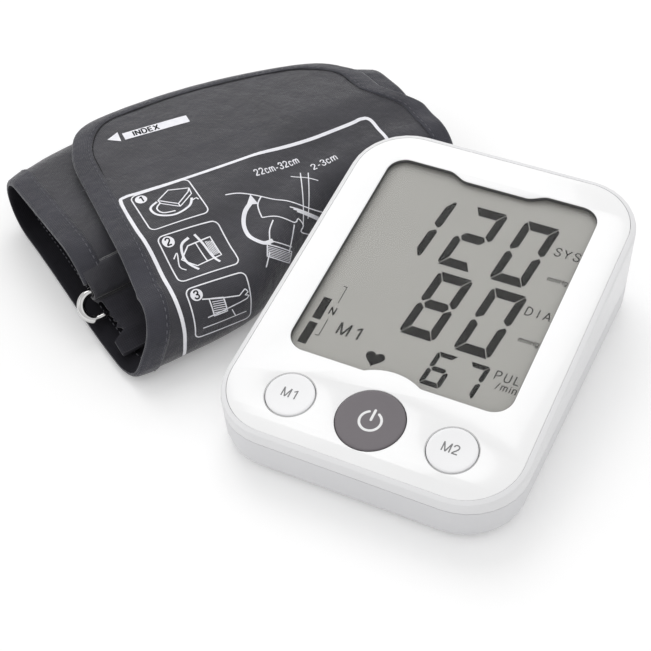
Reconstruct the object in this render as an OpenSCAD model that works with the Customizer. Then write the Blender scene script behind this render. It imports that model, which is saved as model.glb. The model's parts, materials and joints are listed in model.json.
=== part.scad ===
// Upper-arm blood pressure monitor with its rolled cuff, in millimetres.
// Origin on the table under the middle of the face. +X runs to the right of
// the display, +Y towards its top edge, +Z up.

/* [Monitor body] */
// Width of the body across the display
body_w = 104.5; // [102:0.5:108]
// Length of the face along its slope
body_l = 138; // [136:0.5:142]
// Height of the front edge of the face above the table
face_front_h = 18.7; // [18.7:0.1:20]
// Slope of the face, back edge higher
face_tilt = 9; // [8:0.25:10]
// Corner radius of the body seen from above
corner_r = 21; // [19:0.5:23]
// Height of the seam between the covers
seam_z = 14.5; // [14:0.1:14.8]
// Shadow gap at the seam
seam_gap = 0.2; // [0.1:0.05:0.3]
// Thickness of the covers' walls and floor
wall = 2.2; // [1.8:0.1:2.4]
// How far the foot of the walls stands inside the rim
base_inset = 0.7; // [0.3:0.1:1]
// Radius of the rounded edge under the body
edge_r = 5; // [4:0.5:6]
// Radius of the rounded rim of the face
rim_r = 1.6; // [1:0.1:2]

/* [Face] */
// Width of the white rim band outside the faceplate
rim_band = 2.1; // [1.8:0.1:2.6]
// Thickness of the inlaid faceplate
plate_t = 1.5; // [1.2:0.1:1.7]
// Thickness of the deck under the faceplate
deck_t = 2; // [1.6:0.1:2.2]
// Distance between the display window and each side of the body
window_side = 13.7; // [13.2:0.1:15]
// Distance between the window and the front end of the face
window_front = 35.3; // [35:0.1:37]
// Distance between the window and the back end of the face
window_back = 13.1; // [13:0.1:15]
// Corner radius of the window
window_r = 6.8; // [5:0.2:9]
// Width of the tab that dips into the window's top edge
tab_w = 37; // [32:0.5:40]
// Depth of that tab
tab_depth = 2.8; // [2:0.1:3.5]
// Radius of the arc round the power key that rises into the window
bump_r = 19.3; // [18.5:0.1:20]

/* [Keys] */
// Diameter of the two memory keys
memory_key_d = 16.1; // [14:0.1:17]
// Distance from each memory key's middle to the side of the body
memory_key_side = 24.45; // [22:0.05:25]
// Distance from the memory keys' middle to the front end of the face
memory_key_front = 18.1; // [17:0.1:19]
// Diameter of the power key
power_key_d = 22.4; // [20:0.1:23]
// Distance from the power key's middle to the front end of the face
power_key_front = 18.7; // [17:0.1:18.8]
// Gap round each key
key_gap = 0.25; // [0.2:0.05:0.35]
// How far the keys stand above the faceplate
key_proud = 0.3; // [0.1:0.05:0.4]
// Travel of each key
key_travel = 0.6; // [0.4:0.05:0.6]

/* [Display] */
// Thickness of the clear display window
lens_t = 0.5; // [0.4:0.1:0.6]
// Overlap of the window and the display behind the faceplate
lens_lap = 1.8; // [1.4:0.1:1.9]
// Thickness of the display glass
lcd_t = 2.8; // [2.4:0.1:2.8]
// Thickness of the display's reflector
reflector_t = 0.4; // [0.2:0.1:0.4]
// Wall of the frame that carries the display
lcd_frame_wall = 1; // [0.8:0.1:1.1]

/* [Board] */
// Depth of the board's upper side under the face
board_depth = 9.2; // [9:0.1:9.5]
// Thickness of the board
board_t = 1.6; // [1:0.1:1.6]
// Distance between the board and each side of the body
board_side = 13.75; // [13.75:0.25:16]
// Distance from the board to the front end of the face
board_front = 7; // [7:0.5:9]
// Side of a key switch's square body
switch_w = 6; // [5:0.2:6.4]
// Height of a key switch's body
switch_h = 3.5; // [3.2:0.1:3.6]
// Radius of a switch's plunger
plunger_r = 1.7; // [1.4:0.1:1.9]

/* [Battery bay] */
// Diameter of a cell
cell_d = 14.2; // [13.8:0.1:14.4]
// Length of a cell
cell_l = 50.5; // [49.5:0.1:50.5]
// Number of cells side by side
cell_count = 4; // [4:1:4]
// Distance from cell to cell
cell_pitch = 15.2; // [14.9:0.1:15.4]
// Middle of the bay across the body
bay_x = -5; // [-5.5:0.1:-4.5]
// Room behind the bay for the power socket
bay_rear = 14.7; // [14.2:0.1:14.7]
// Wall of the bay
bay_wall = 1.2; // [1:0.1:1.3]
// Thickness of the battery door
door_t = 2; // [1.8:0.05:2]
// Sliding clearance round the door
door_gap = 0.2; // [0.15:0.05:0.3]
// Travel of the door, short of a cuff that lies behind the body
door_travel = 20; // [15:1:20]
// Thickness of the battery contacts
contact_t = 0.5; // [0.3:0.1:0.6]
// Height of the rubber feet under the body
foot_h = 1; // [0.8:0.1:1.2]
// Room round the rubber feet beside the battery door
foot_gap = 0.7; // [0.5:0.1:1.5]

/* [Air system] */
// Radius of the air socket's bore
air_bore_r = 3; // [2.6:0.1:3.2]
// Depth of the air socket's bore
air_bore_l = 10; // [8:0.5:10]
// Place of the air socket along the left wall
air_socket_y = -30; // [-33:0.5:-28]
// Height of the air socket
air_socket_z = 9.5; // [9.2:0.1:9.6]
// Room left on each side of the pump and the valve
pump_gap = 1; // [0.8:0.1:1.5]
// Height of the pump's head
pump_h = 17; // [15:0.5:17]
// Length of the pump's head
pump_l = 15; // [13:0.5:16]
// Length of the pump's motor
motor_l = 22; // [18:0.5:23]
// Radius of the inner air tubes
tube_r = 1.75; // [1.5:0.05:2]
// Length of the deflation valve
valve_l = 20; // [16:0.5:22]
// Radius of the power socket's bore
dc_bore_r = 2.75; // [2.5:0.05:3]
// Depth of the power socket's bore
dc_bore_l = 9; // [8:0.5:10]

/* [Cuff] */
// Width of the cuff, along the roll
cuff_w = 150; // [140:1:155]
// Thickness of the cuff's padded sheet
sheet_t = 3.6; // [3.4:0.1:3.8]
// Thickness of the cuff's fabric and lining
fabric_t = 0.7; // [0.5:0.05:0.7]
// Height of the roll without its flap
roll_h = 27.5; // [26.5:0.25:29]
// Depth of the roll at its left end
roll_left = 99; // [96:0.5:102]
// Depth of the roll at its right end
roll_right = 77; // [76:0.5:80]
// How far the roll's back bulges in the middle
roll_bulge = 15; // [10:0.5:17]
// How far the monitor's corner presses the front of the roll in
roll_dent = 25; // [25:0.5:27]
// Direction of the roll, counted from +X
roll_angle = 59.8; // [59:0.1:60.5]
// Corner radius of the flap
flap_corner_r = 24; // [18:1:28]
// Width of the binding tape
binding_w = 8; // [6:0.5:9]
// Thickness of the binding tape
binding_t = 0.45; // [0.3:0.05:0.5]
// Radius of the steel loop's wire
wire_r = 1.5; // [1.3:0.05:1.6]
// Distance between the middles of the loop's two bars
loop_gap = 9.5; // [8.5:0.25:10]
// Length of the loop's straight bars
loop_l = 140; // [130:1:142]
// Bore radius of the hose inlet
inlet_bore_r = 2; // [1.6:0.1:2.2]

/* [Hidden] */

$fn = 64;
hull_fn = 32;
fit = 0.1;
touch = 0.02;
far = 400;

// ---- places on the sloping face: u to the right, v up the face, w out of it
face_h = face_front_h + body_l / 2 * sin(face_tilt);
deck_bottom = -plate_t - deck_t;
lens_top = -plate_t;
lcd_top = lens_top - lens_t - fit;
lcd_bottom = lcd_top - lcd_t;
reflector_bottom = lcd_bottom - reflector_t;
board_top = -board_depth;
board_bottom = board_top - board_t;
window_w = body_w - 2 * window_side;
window_l = body_l - window_front - window_back;
window_v = (window_front - window_back) / 2;
window_top_v = window_v + window_l / 2;
memory_key_u = body_w / 2 - memory_key_side;
memory_key_v = memory_key_front - body_l / 2;
power_key_v = power_key_front - body_l / 2;
tab_u = 1.2;
tab_slope = 7.5;
panel_w = window_w + 2 * lens_lap;
panel_l = window_l + 2 * lens_lap;
panel_r = 3;
KEYS = [[-memory_key_u, memory_key_v, memory_key_d],
        [0, power_key_v, power_key_d],
        [memory_key_u, memory_key_v, memory_key_d]];
key_flange = 1.2;
key_flange_t = 0.8;
key_flange_top = deck_bottom - key_gap;
switch_top = board_top + switch_h;
plunger_top = switch_top + 0.7;
plunger_low = switch_top - 0.7;

// ---- inside the body
floor_z = foot_h + wall;
cell_z = foot_h + door_t + 2 * door_gap + cell_d / 2;
bay_w = cell_pitch * cell_count + 1.4;
spring_l = 4;
bay_l = cell_l + spring_l + 2 * contact_t;
back_y = body_l / 2 * cos(face_tilt) - 0.95;
bay_y = back_y - bay_rear - bay_l;
bay_box_w = bay_w + 2 * bay_wall;
bay_box_x = bay_x - bay_box_w / 2;
bay_back = bay_y + bay_l;
bay_top = cell_z + cell_d / 2 + 0.5;
door_w = bay_w - 2 * door_gap;
rail = 1;
rail_z = foot_h + 0.7;
rail_t = 0.7;
side = body_w / 2;
end = body_l / 2;
POSTS = [[8.95 - side, 19 - end], [side - 8.95, 19 - end], [6.95 - side, end - 20], [side - 6.95, end - 20]];
post_r = 3.2;
screw_r = 1.3;
screw_head_r = 2.5;
screw_seat_z = 6;
door_left = bay_x - bay_w / 2 - rail;
flat_left = base_inset + edge_r - side;
foot_x = (door_left + flat_left) / 2;
foot_r = (door_left - flat_left) / 2 - foot_gap;
FEET = [[foot_x, 19 - end], [-foot_x, 19 - end], [foot_x, end - 23], [-foot_x, end - 23]];
board_w = body_w - 2 * board_side;
board_v0 = board_front - end;
board_gap = 0.5;
board_v1 = (bay_y - bay_wall - board_gap + board_bottom * sin(face_tilt)) / cos(face_tilt);
board_post_r = 2.2;
ear_x = side - 7.05;
ear_v = board_v1 - 7.5;
BOARD_POSTS = [[2.3 - board_w / 2, board_v0 + 2.3], [board_w / 2 - 2.3, board_v0 + 2.3],
    [-ear_x, ear_v], [ear_x, ear_v]];

room_left = bay_box_x + side - wall - base_inset;
room_right = side - wall - base_inset - bay_box_x - bay_box_w;
pump_w = room_right - 2 * pump_gap;
motor_w = pump_w - 2;
motor_h = pump_h - 2;
pump_x = bay_box_x + bay_box_w + room_right / 2;
pump_y = bay_y + 8;
pump_z = floor_z + pump_h / 2 + 0.4;
valve_w = room_left - 2 * pump_gap;
valve_x = bay_box_x - room_left / 2;
valve_y = bay_y + 19;
manifold_x = -6;
barb_r = 1.2;
sensor_u = 10;
sensor_v = board_v1 - 8.5;
sensor_h = 3;
tube_gap = 0.35;
dc_x = -20;
dc_z = 9.9;

// ---- the cuff's own frame: s along the roll, b towards its back fold
cuff_x = -91;
cuff_y = -47;
front_start = -6;
front_relax = 4;
dent_from = 40;
dent_to = 105;
binding_skin = 0.3;
bottom_z = sheet_t / 2 + binding_skin + binding_t + 0.05;
inner_z = roll_h - sheet_t / 2;
fold_r = (inner_z - bottom_z) / 2;
fold_z = bottom_z + fold_r;
layer_gap = 2 * binding_t + 0.9;
flap_rise = 22;
flap_r = fold_r + sheet_t + layer_gap;
flap_end_angle = 35;
flap_end_l = flap_r * flap_end_angle * PI / 180;
droop_r = 19;
droop_angle = 55;
loop_b = 30.5;
loop_yaw = 2.5;
loop_tilt = 50;
sleeve_r = wire_r + 1.4;
loop_z = inner_z - droop_r * (1 - cos(droop_angle)) - (sleeve_r + 0.3) * sin(droop_angle);
flap_s0 = 9;
flap_taper = 0.2;
flap_s1 = cuff_w - 10;

// ================= shared shapes =================

function unit(v) = v / norm(v);
function mix(a, b, t) = a + (b - a) * t;
function smooth(a, b, x) = let (t = max(0, min(1, (x - a) / (b - a)))) t * t * (3 - 2 * t);
function flat_list(rows) = [for (row = rows) for (p = row) p];
function face_pt(u, v, w) = [u, v * cos(face_tilt) - w * sin(face_tilt),
    face_h + v * sin(face_tilt) + w * cos(face_tilt)];
function bezier(p, t) = pow(1 - t, 3) * p[0] + 3 * t * pow(1 - t, 2) * p[1]
    + 3 * t * t * (1 - t) * p[2] + pow(t, 3) * p[3];
function curve(p, steps) = [for (i = [0:steps]) bezier(p, i / steps)];

module on_face(u = 0, v = 0, w = 0) {
    translate([0, 0, face_h])
        rotate([face_tilt, 0, 0])
            translate([u, v, w])
                children();
}

module rounded(w, l, r) {
    square([w - 2 * r, l], center = true);
    square([w, l - 2 * r], center = true);
    for (x = [-1, 1], y = [-1, 1])
        translate([x * (w / 2 - r), y * (l / 2 - r)])
            circle(r);
}

// Closed solid between two grids of points, rows along the sheet's path
module slab(upper, lower) {
    n = len(upper);
    m = len(upper[0]);
    o = n * m;
    rows = [0:n - 2];
    cols = [0:m - 2];
    last = (n - 1) * m;
    polyhedron(points = concat(flat_list(upper), flat_list(lower)), faces = concat(
        [for (i = rows, j = cols) [i * m + j, (i + 1) * m + j, (i + 1) * m + j + 1]],
        [for (i = rows, j = cols) [i * m + j, (i + 1) * m + j + 1, i * m + j + 1]],
        [for (i = rows, j = cols) [o + i * m + j, o + (i + 1) * m + j + 1, o + (i + 1) * m + j]],
        [for (i = rows, j = cols) [o + i * m + j, o + i * m + j + 1, o + (i + 1) * m + j + 1]],
        [for (j = cols) [j, j + 1, o + j + 1]],
        [for (j = cols) [j, o + j + 1, o + j]],
        [for (j = cols) [last + j, o + last + j + 1, last + j + 1]],
        [for (j = cols) [last + j, o + last + j, o + last + j + 1]],
        [for (i = rows) [(i + 1) * m, i * m, o + i * m]],
        [for (i = rows) [(i + 1) * m, o + i * m, o + (i + 1) * m]],
        [for (i = rows) [(i + 1) * m + m - 1, o + i * m + m - 1, i * m + m - 1]],
        [for (i = rows) [(i + 1) * m + m - 1, o + (i + 1) * m + m - 1, o + i * m + m - 1]]));
}

// Closed solid through a list of equal rings of points
module loft(rings) {
    n = len(rings);
    k = len(rings[0]);
    last = (n - 1) * k;
    polyhedron(points = flat_list(rings), faces = concat(
        [for (i = [0:n - 2], j = [0:k - 1]) [i * k + j, (i + 1) * k + j, (i + 1) * k + (j + 1) % k]],
        [for (i = [0:n - 2], j = [0:k - 1]) [i * k + j, (i + 1) * k + (j + 1) % k, i * k + (j + 1) % k]],
        [[for (j = [0:k - 1]) j]],
        [[for (j = [k - 1:-1:0]) last + j]]));
}

// Round solid along a path, ref is a direction the path never runs in
module tube_along(path, r, sides = 8, ref = [0, 0, 1]) {
    n = len(path);
    loft([for (i = [0:n - 1])
        let (t = unit(path[min(n - 1, i + 1)] - path[max(0, i - 1)]),
             e = unit(cross(t, ref)),
             f = cross(t, e))
        [for (k = [0:sides - 1]) path[i] + r * (cos(360 * k / sides) * e + sin(360 * k / sides) * f)]]);
}

// ================= covers =================

module slice(w, l, r) {
    linear_extrude(touch)
        rounded(w, l, r, $fn = hull_fn);
}

// Full outer form of the body: rounded foot, drafted walls, sloping rim
module outer_form() {
    hull() {
        for (a = [0, 30, 60, 90])
            let (in = base_inset + edge_r * (1 - sin(a)))
            translate([0, 0, foot_h + edge_r * (1 - cos(a))])
                slice(body_w - 2 * in, (body_l - 2 * in) * cos(face_tilt), corner_r - in);
        for (a = [0, 45, 90])
            let (in = rim_r * (1 - sin(a)))
            on_face(0, 0, -rim_r * (1 - cos(a)) - touch)
                slice(body_w - 2 * in, body_l - 2 * in, corner_r - in);
    }
}

// The space inside the walls, grown sideways by extra
module inner_form(extra = 0) {
    low = wall + base_inset - extra;
    hull() {
        translate([0, 0, floor_z])
            slice(body_w - 2 * low - 2 * edge_r + 4, (body_l - 2 * low - 2 * edge_r + 4) * cos(face_tilt),
                corner_r - low - edge_r + 2);
        translate([0, 0, floor_z + edge_r - 2])
            slice(body_w - 2 * low, (body_l - 2 * low) * cos(face_tilt), corner_r - low);
        on_face(0, 0, deck_bottom - touch)
            slice(body_w - 2 * wall + 2 * extra, body_l - 2 * wall + 2 * extra, corner_r - wall + extra);
    }
}

module layer(z0, z1) {
    translate([-far / 2, -far / 2, z0])
        cube([far, far, z1 - z0]);
}

lip_w = 1;
lip_h = 0.9;

module front_cover() {
    color([0.95, 0.95, 0.96])
    difference() {
        union() {
            difference() {
                intersection() {
                    outer_form();
                    layer(seam_z + seam_gap, far);
                }
                inner_form();
                intersection() {
                    inner_form(lip_w + fit);
                    layer(0, seam_z + lip_h + fit);
                }
            }
            for (p = POSTS)
                translate([p[0], p[1], seam_z + seam_gap])
                    cylinder(r = post_r, h = face_pt(0, p[1], deck_bottom)[2] + 0.8 - seam_z - seam_gap);
            for (p = BOARD_POSTS)
                on_face(p[0], p[1], board_top)
                    cylinder(r = board_post_r, h = deck_bottom - board_top + 0.5);
        }
        on_face(0, 0, -plate_t)
            linear_extrude(far)
                rounded(body_w - 2 * rim_band + 2 * fit, body_l - 2 * rim_band + 2 * fit, corner_r - rim_band);
        on_face(0, window_v, deck_bottom - 1)
            linear_extrude(far)
                rounded(panel_w + 0.6, panel_l + 0.6, panel_r + 0.3);
        for (k = KEYS)
            on_face(k[0], k[1], deck_bottom - 1)
                cylinder(r = k[2] / 2 + key_gap, h = 10);
        for (p = POSTS)
            translate([p[0], p[1], 0])
                cylinder(r = screw_r + 0.05, h = face_pt(0, p[1], deck_bottom)[2] - 0.2);
        for (p = BOARD_POSTS)
            on_face(p[0], p[1], board_top - 1)
                cylinder(r = 0.95, h = 1 + 4.5);
    }
}

pump_seats = [[pump_y + 4, pump_h], [pump_y + pump_l + 12, motor_h]];

module rear_cover() {
    color([0.86, 0.86, 0.88])
    difference() {
        union() {
            difference() {
                intersection() {
                    outer_form();
                    layer(0, seam_z);
                }
                inner_form();
            }
            difference() {
                intersection() {
                    inner_form(lip_w);
                    layer(seam_z - 2, seam_z + lip_h);
                }
                inner_form();
            }
            for (p = POSTS)
                translate([p[0], p[1], floor_z - 1])
                    cylinder(r = post_r, h = seam_z - floor_z + 1);
            translate([bay_box_x, bay_y - bay_wall, floor_z - 1])
                cube([bay_box_w, bay_l + 2 * bay_wall, bay_top + bay_wall - floor_z + 1]);
            intersection() {
                translate([bay_box_x, bay_back, floor_z - 0.5])
                    cube([bay_box_w, far, 0.5 + bay_wall]);
                outer_form();
            }
        }
        translate([bay_x - bay_w / 2, bay_y, 0])
            cube([bay_w, bay_l, bay_top]);
        translate([bay_x - bay_w / 2, bay_y, 0])
            cube([bay_w, far, foot_h + door_t + door_gap]);
        translate([bay_x - bay_w / 2 - rail - fit, bay_y, rail_z - door_gap])
            cube([bay_w + 2 * rail + 2 * fit, far, rail_t + 2 * door_gap]);
        for (p = POSTS)
            translate([p[0], p[1], 0]) {
                cylinder(r = screw_r + 0.2, h = far);
                cylinder(r = screw_head_r + 0.3, h = screw_seat_z);
            }
        for (p = FEET)
            translate([p[0], p[1], 0])
                cylinder(r = foot_r + 0.05, h = 2 * foot_h);
        translate([-far / 2, air_socket_y, air_socket_z])
            rotate([0, 90, 0])
                cylinder(r = air_bore_r + 1.3, h = far / 2 - side + wall + edge_r);
        translate([dc_x, back_y - wall - edge_r, dc_z])
            rotate([-90, 0, 0])
                cylinder(r = dc_bore_r + 1.1, h = far);
    }
}

// ================= face and keys =================

module window_2d(grow = 0) {
    difference() {
        translate([0, window_v])
            rounded(window_w + 2 * grow, window_l + 2 * grow, window_r + grow);
        translate([0, power_key_v])
            circle(bump_r - grow, $fn = 96);
        polygon([[tab_u - tab_w / 2, window_top_v + 3], [tab_u - tab_w / 2, window_top_v + grow],
            [tab_u - tab_w / 2 + tab_slope, window_top_v - tab_depth + grow],
            [tab_u + tab_w / 2 - tab_slope, window_top_v - tab_depth + grow],
            [tab_u + tab_w / 2, window_top_v + grow], [tab_u + tab_w / 2, window_top_v + 3]]);
    }
}

module faceplate() {
    color([0.98, 0.98, 0.98])
    on_face(0, 0, -plate_t)
        linear_extrude(plate_t)
            difference() {
                rounded(body_w - 2 * rim_band, body_l - 2 * rim_band, corner_r - rim_band);
                window_2d();
                for (k = KEYS)
                    translate([k[0], k[1]])
                        circle(k[2] / 2 + key_gap);
            }
}

module display_window() {
    color([0.8, 0.85, 0.85, 0.4])
    on_face(0, window_v, lens_top - lens_t)
        linear_extrude(lens_t)
            rounded(panel_w, panel_l, panel_r);
}

module lcd_panel() {
    color([0.68, 0.68, 0.66])
    on_face(0, window_v, lcd_bottom)
        linear_extrude(lcd_t)
            rounded(panel_w, panel_l, panel_r);
}

zebra_l = 68;
zebra_w = 2;
zebra_v = window_v - panel_l / 2 + zebra_w / 2 + 0.6;

module lcd_reflector() {
    low = zebra_v + zebra_w / 2 + 0.5;
    high = window_v + panel_l / 2;
    color([0.9, 0.9, 0.86])
    on_face(0, 0, reflector_bottom)
        linear_extrude(reflector_t)
            translate([0, (low + high) / 2])
                rounded(panel_w, high - low, panel_r);
}

module lcd_frame() {
    ledge = 1;
    color([0.93, 0.93, 0.93])
    difference() {
        on_face(0, window_v, reflector_bottom - ledge)
            linear_extrude(deck_bottom - reflector_bottom + ledge)
                difference() {
                    rounded(panel_w + 2 * lcd_frame_wall + 0.2, panel_l + 2 * lcd_frame_wall + 0.2,
                        panel_r + lcd_frame_wall);
                    rounded(panel_w - 12, panel_l - 12, panel_r);
                }
        on_face(0, window_v, reflector_bottom)
            linear_extrude(10)
                rounded(panel_w + 0.2, panel_l + 0.2, panel_r);
        on_face(0, zebra_v, reflector_bottom - 2)
            linear_extrude(10)
                square([zebra_l + 0.4, zebra_w + 0.4], center = true);
    }
}

module zebra_strip() {
    color([0.25, 0.25, 0.28])
    on_face(0, zebra_v, board_top)
        linear_extrude(lcd_bottom - board_top)
            square([zebra_l, zebra_w], center = true);
}

module key(k) {
    r = k[2] / 2;
    chamfer = 0.35;
    on_face(k[0], k[1])
        rotate_extrude()
            polygon([[0, key_proud - 0.12], [r * 0.7, key_proud - 0.04], [r - chamfer, key_proud],
                [r, key_proud - chamfer], [r, key_flange_top], [r + key_flange, key_flange_top],
                [r + key_flange, key_flange_top - key_flange_t], [plunger_r + 0.4, key_flange_top - key_flange_t],
                [plunger_r + 0.4, plunger_top], [0, plunger_top]]);
}

module memory_1_button() {
    color([0.96, 0.96, 0.97])
        key(KEYS[0]);
}

module power_button() {
    color([0.44, 0.42, 0.45])
        key(KEYS[1]);
}

module memory_2_button() {
    color([0.96, 0.96, 0.97])
        key(KEYS[2]);
}

module plunger(k) {
    color([0.2, 0.2, 0.2])
    on_face(k[0], k[1], plunger_low)
        cylinder(r = plunger_r, h = plunger_top - plunger_low);
}

module tact_switches() {
    color([0.55, 0.56, 0.58])
    for (k = KEYS)
        difference() {
            on_face(k[0], k[1], board_top)
                linear_extrude(switch_h)
                    square(switch_w, center = true);
            on_face(k[0], k[1], plunger_low - key_travel - 0.2)
                cylinder(r = plunger_r + 0.15, h = 10);
        }
}

// ================= board =================

module main_board() {
    color([0.1, 0.42, 0.22])
    difference() {
        on_face(0, 0, board_bottom)
            linear_extrude(board_t) {
                translate([-board_w / 2, board_v0])
                    square([board_w, board_v1 - board_v0]);
                translate([-ear_x - 2.9, ear_v - 4])
                    square([2 * ear_x + 5.8, 8]);
            }
        for (p = BOARD_POSTS)
            on_face(p[0], p[1], board_bottom - 1)
                cylinder(r = 1.25, h = 10);
    }
}

module board_screws() {
    color([0.7, 0.7, 0.72])
    for (p = BOARD_POSTS)
        on_face(p[0], p[1], board_bottom) {
            translate([0, 0, -1.2])
                cylinder(r = 2, h = 1.2);
            translate([0, 0, -0.1])
                cylinder(r = 0.9, h = board_t + 4);
        }
}

module controller_chip() {
    color([0.12, 0.12, 0.13])
    on_face(-12, (zebra_v + board_v1) / 2, board_top)
        linear_extrude(1.4)
            rounded(10, 10, 0.4);
}

module buzzer() {
    color([0.1, 0.1, 0.1])
    on_face(14.5 - board_w / 2, board_v0 + 14, board_bottom - 5)
        difference() {
            cylinder(r = 6, h = 5);
            translate([0, 0, -1])
                cylinder(r = 1, h = 2.5);
        }
}

module pressure_sensor() {
    color([0.85, 0.85, 0.8])
    on_face(sensor_u, sensor_v, board_bottom - sensor_h) {
        linear_extrude(sensor_h)
            rounded(9, 9, 0.6);
        translate([0, 0, -2])
            cylinder(r = barb_r, h = 2.1);
    }
}

// ================= air system =================

socket_x = -body_w / 2 + 0.4;

module air_socket() {
    color([0.8, 0.8, 0.82])
    translate([socket_x, air_socket_y, air_socket_z])
        rotate([0, 90, 0])
            rotate_extrude()
                polygon([[air_bore_r, 0], [air_bore_r + 1.2, 0], [air_bore_r + 1.2, air_bore_l + 1.5],
                    [barb_r, air_bore_l + 1.5], [barb_r, air_bore_l + 5], [0.6, air_bore_l + 5],
                    [0.6, air_bore_l], [air_bore_r, air_bore_l]]);
}

module dc_socket() {
    depth = dc_bore_l + 3;
    color([0.15, 0.15, 0.16])
    difference() {
        union() {
            translate([dc_x, back_y - depth, dc_z])
                rotate([-90, 0, 0])
                    cylinder(r = dc_bore_r + 1, h = depth);
            translate([dc_x - 4.5, back_y - depth, dc_z - 4.4])
                cube([9, depth - 3.6, 8.8]);
        }
        translate([dc_x, back_y - dc_bore_l, dc_z])
            rotate([-90, 0, 0])
                difference() {
                    cylinder(r = dc_bore_r, h = far);
                    cylinder(r = 1, h = dc_bore_l - 2);
                }
    }
}

manifold_l = 22;

module tee_manifold() {
    color([0.75, 0.78, 0.8])
    translate([manifold_x, air_socket_y, air_socket_z]) {
        rotate([0, 90, 0])
            cylinder(r = 2.5, h = manifold_l, center = true);
        rotate([0, 90, 0])
            cylinder(r = barb_r, h = manifold_l + 7, center = true);
        for (x = [-6, 6])
            translate([x, 0, 0])
                rotate([-90, 0, 0])
                    cylinder(r = barb_r, h = 6);
    }
}

module socket_tube() {
    from = socket_x + air_bore_l + 1.5;
    to = manifold_x - manifold_l / 2;
    color([0.85, 0.87, 0.85])
    translate([from + fit, air_socket_y, air_socket_z])
        rotate([0, 90, 0])
            difference() {
                cylinder(r = tube_r, h = to - from - 2 * fit);
                translate([0, 0, -1])
                    cylinder(r = barb_r + 0.03, h = far);
            }
}

module pump_tube() {
    start = [manifold_x + manifold_l / 2 + 3.5 + tube_gap, air_socket_y, air_socket_z];
    end = [pump_x, pump_y - 5 - tube_gap, pump_z];
    color([0.85, 0.87, 0.85])
        tube_along(curve([start, start + [26, 0, 0], end - [0, 26, 0], end], 14), tube_r);
}

module valve_tube() {
    start = [manifold_x - 6, air_socket_y + 6 + tube_gap, air_socket_z];
    end = [valve_x, valve_y - 5 - tube_gap, air_socket_z];
    color([0.85, 0.87, 0.85])
        tube_along(curve([start, start + [0, 5, 0], end - [0, 30, 0], end], 14), tube_r);
}

module sensor_tube() {
    start = [manifold_x + 6, air_socket_y + 6 + tube_gap, air_socket_z];
    nozzle = board_bottom - sensor_h - 2 - tube_gap;
    end = face_pt(sensor_u, sensor_v, nozzle);
    below = face_pt(sensor_u, sensor_v, nozzle - 7);
    color([0.85, 0.87, 0.85])
        tube_along(curve([start, start + [0, 7, 0], below, end], 12), tube_r, ref = [1, 0, 0]);
}

module air_pump() {
    color([0.3, 0.3, 0.33])
    translate([pump_x, pump_y, pump_z])
        rotate([-90, 0, 0]) {
            linear_extrude(pump_l)
                rounded(pump_w, pump_h, 4);
            translate([0, 0, -5])
                cylinder(r = barb_r, h = 6);
            for (x = [-1, 1], y = [-1, 1])
                translate([x * (pump_w / 2 - 3), y * (pump_h / 2 - 3), -0.6])
                    cylinder(r = 1.2, h = 1);
        }
}

module pump_motor() {
    color([0.72, 0.73, 0.75])
    translate([pump_x, pump_y + pump_l, pump_z])
        rotate([-90, 0, 0]) {
            linear_extrude(motor_l)
                rounded(motor_w, motor_h, 5);
            cylinder(r = 3, h = motor_l + 1.5);
        }
}

cradle_w = 12;

module pump_cradle() {
    color([0.2, 0.2, 0.2])
    for (s = pump_seats)
        translate([pump_x - cradle_w / 2, s[0], floor_z])
            cube([cradle_w, 6, pump_z - s[1] / 2 - touch - floor_z]);
}

module deflation_valve() {
    color([0.65, 0.66, 0.68])
    translate([valve_x, valve_y, air_socket_z]) {
        rotate([-90, 0, 0]) {
            linear_extrude(valve_l)
                rounded(valve_w, 10, 3);
            translate([0, 0, -5])
                cylinder(r = barb_r, h = 6);
        }
        translate([-valve_w / 4, 4, floor_z - air_socket_z])
            cube([valve_w / 2, valve_l - 8, air_socket_z - floor_z]);
    }
}

// ================= battery bay =================

function cell_x(i) = bay_x + (i - (cell_count - 1) / 2) * cell_pitch;

module battery_cells() {
    nub = 1;
    color([0.2, 0.45, 0.3])
    for (i = [0:cell_count - 1]) {
        spring_front = i % 2 == 0;
        y0 = bay_y + contact_t + (spring_front ? spring_l : nub);
        translate([cell_x(i), y0, cell_z])
            rotate([-90, 0, 0]) {
                cylinder(r = cell_d / 2, h = cell_l - nub);
                translate([0, 0, spring_front ? cell_l - nub - 0.1 : -nub])
                    cylinder(r = 2.7, h = nub + 0.1);
            }
    }
}

module battery_contacts() {
    w = cell_pitch - 3.2;
    h = cell_d - 3.2;
    color([0.8, 0.8, 0.82])
    for (i = [0:cell_count - 1], y = [bay_y, bay_back - contact_t])
        translate([cell_x(i) - w / 2, y, cell_z - h / 2])
            cube([w, contact_t, h]);
}

module battery_springs() {
    turns = 3;
    steps = 24;
    wire = 0.35;
    color([0.8, 0.8, 0.82])
    for (i = [0:cell_count - 1]) {
        front = i % 2 == 0;
        y0 = front ? bay_y + contact_t + wire : bay_back - contact_t - wire;
        dir = front ? 1 : -1;
        rise = spring_l - 2 * wire - 0.05;
        tube_along([for (k = [0:steps])
            let (a = 360 * turns * k / steps, r = (cell_d / 2 - 2.1) * (1 - 0.36 * k / steps))
            [cell_x(i) + r * cos(a), y0 + dir * rise * k / steps, cell_z + r * sin(a)]],
            wire, 6, [0, 1, 0]);
    }
}

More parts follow.
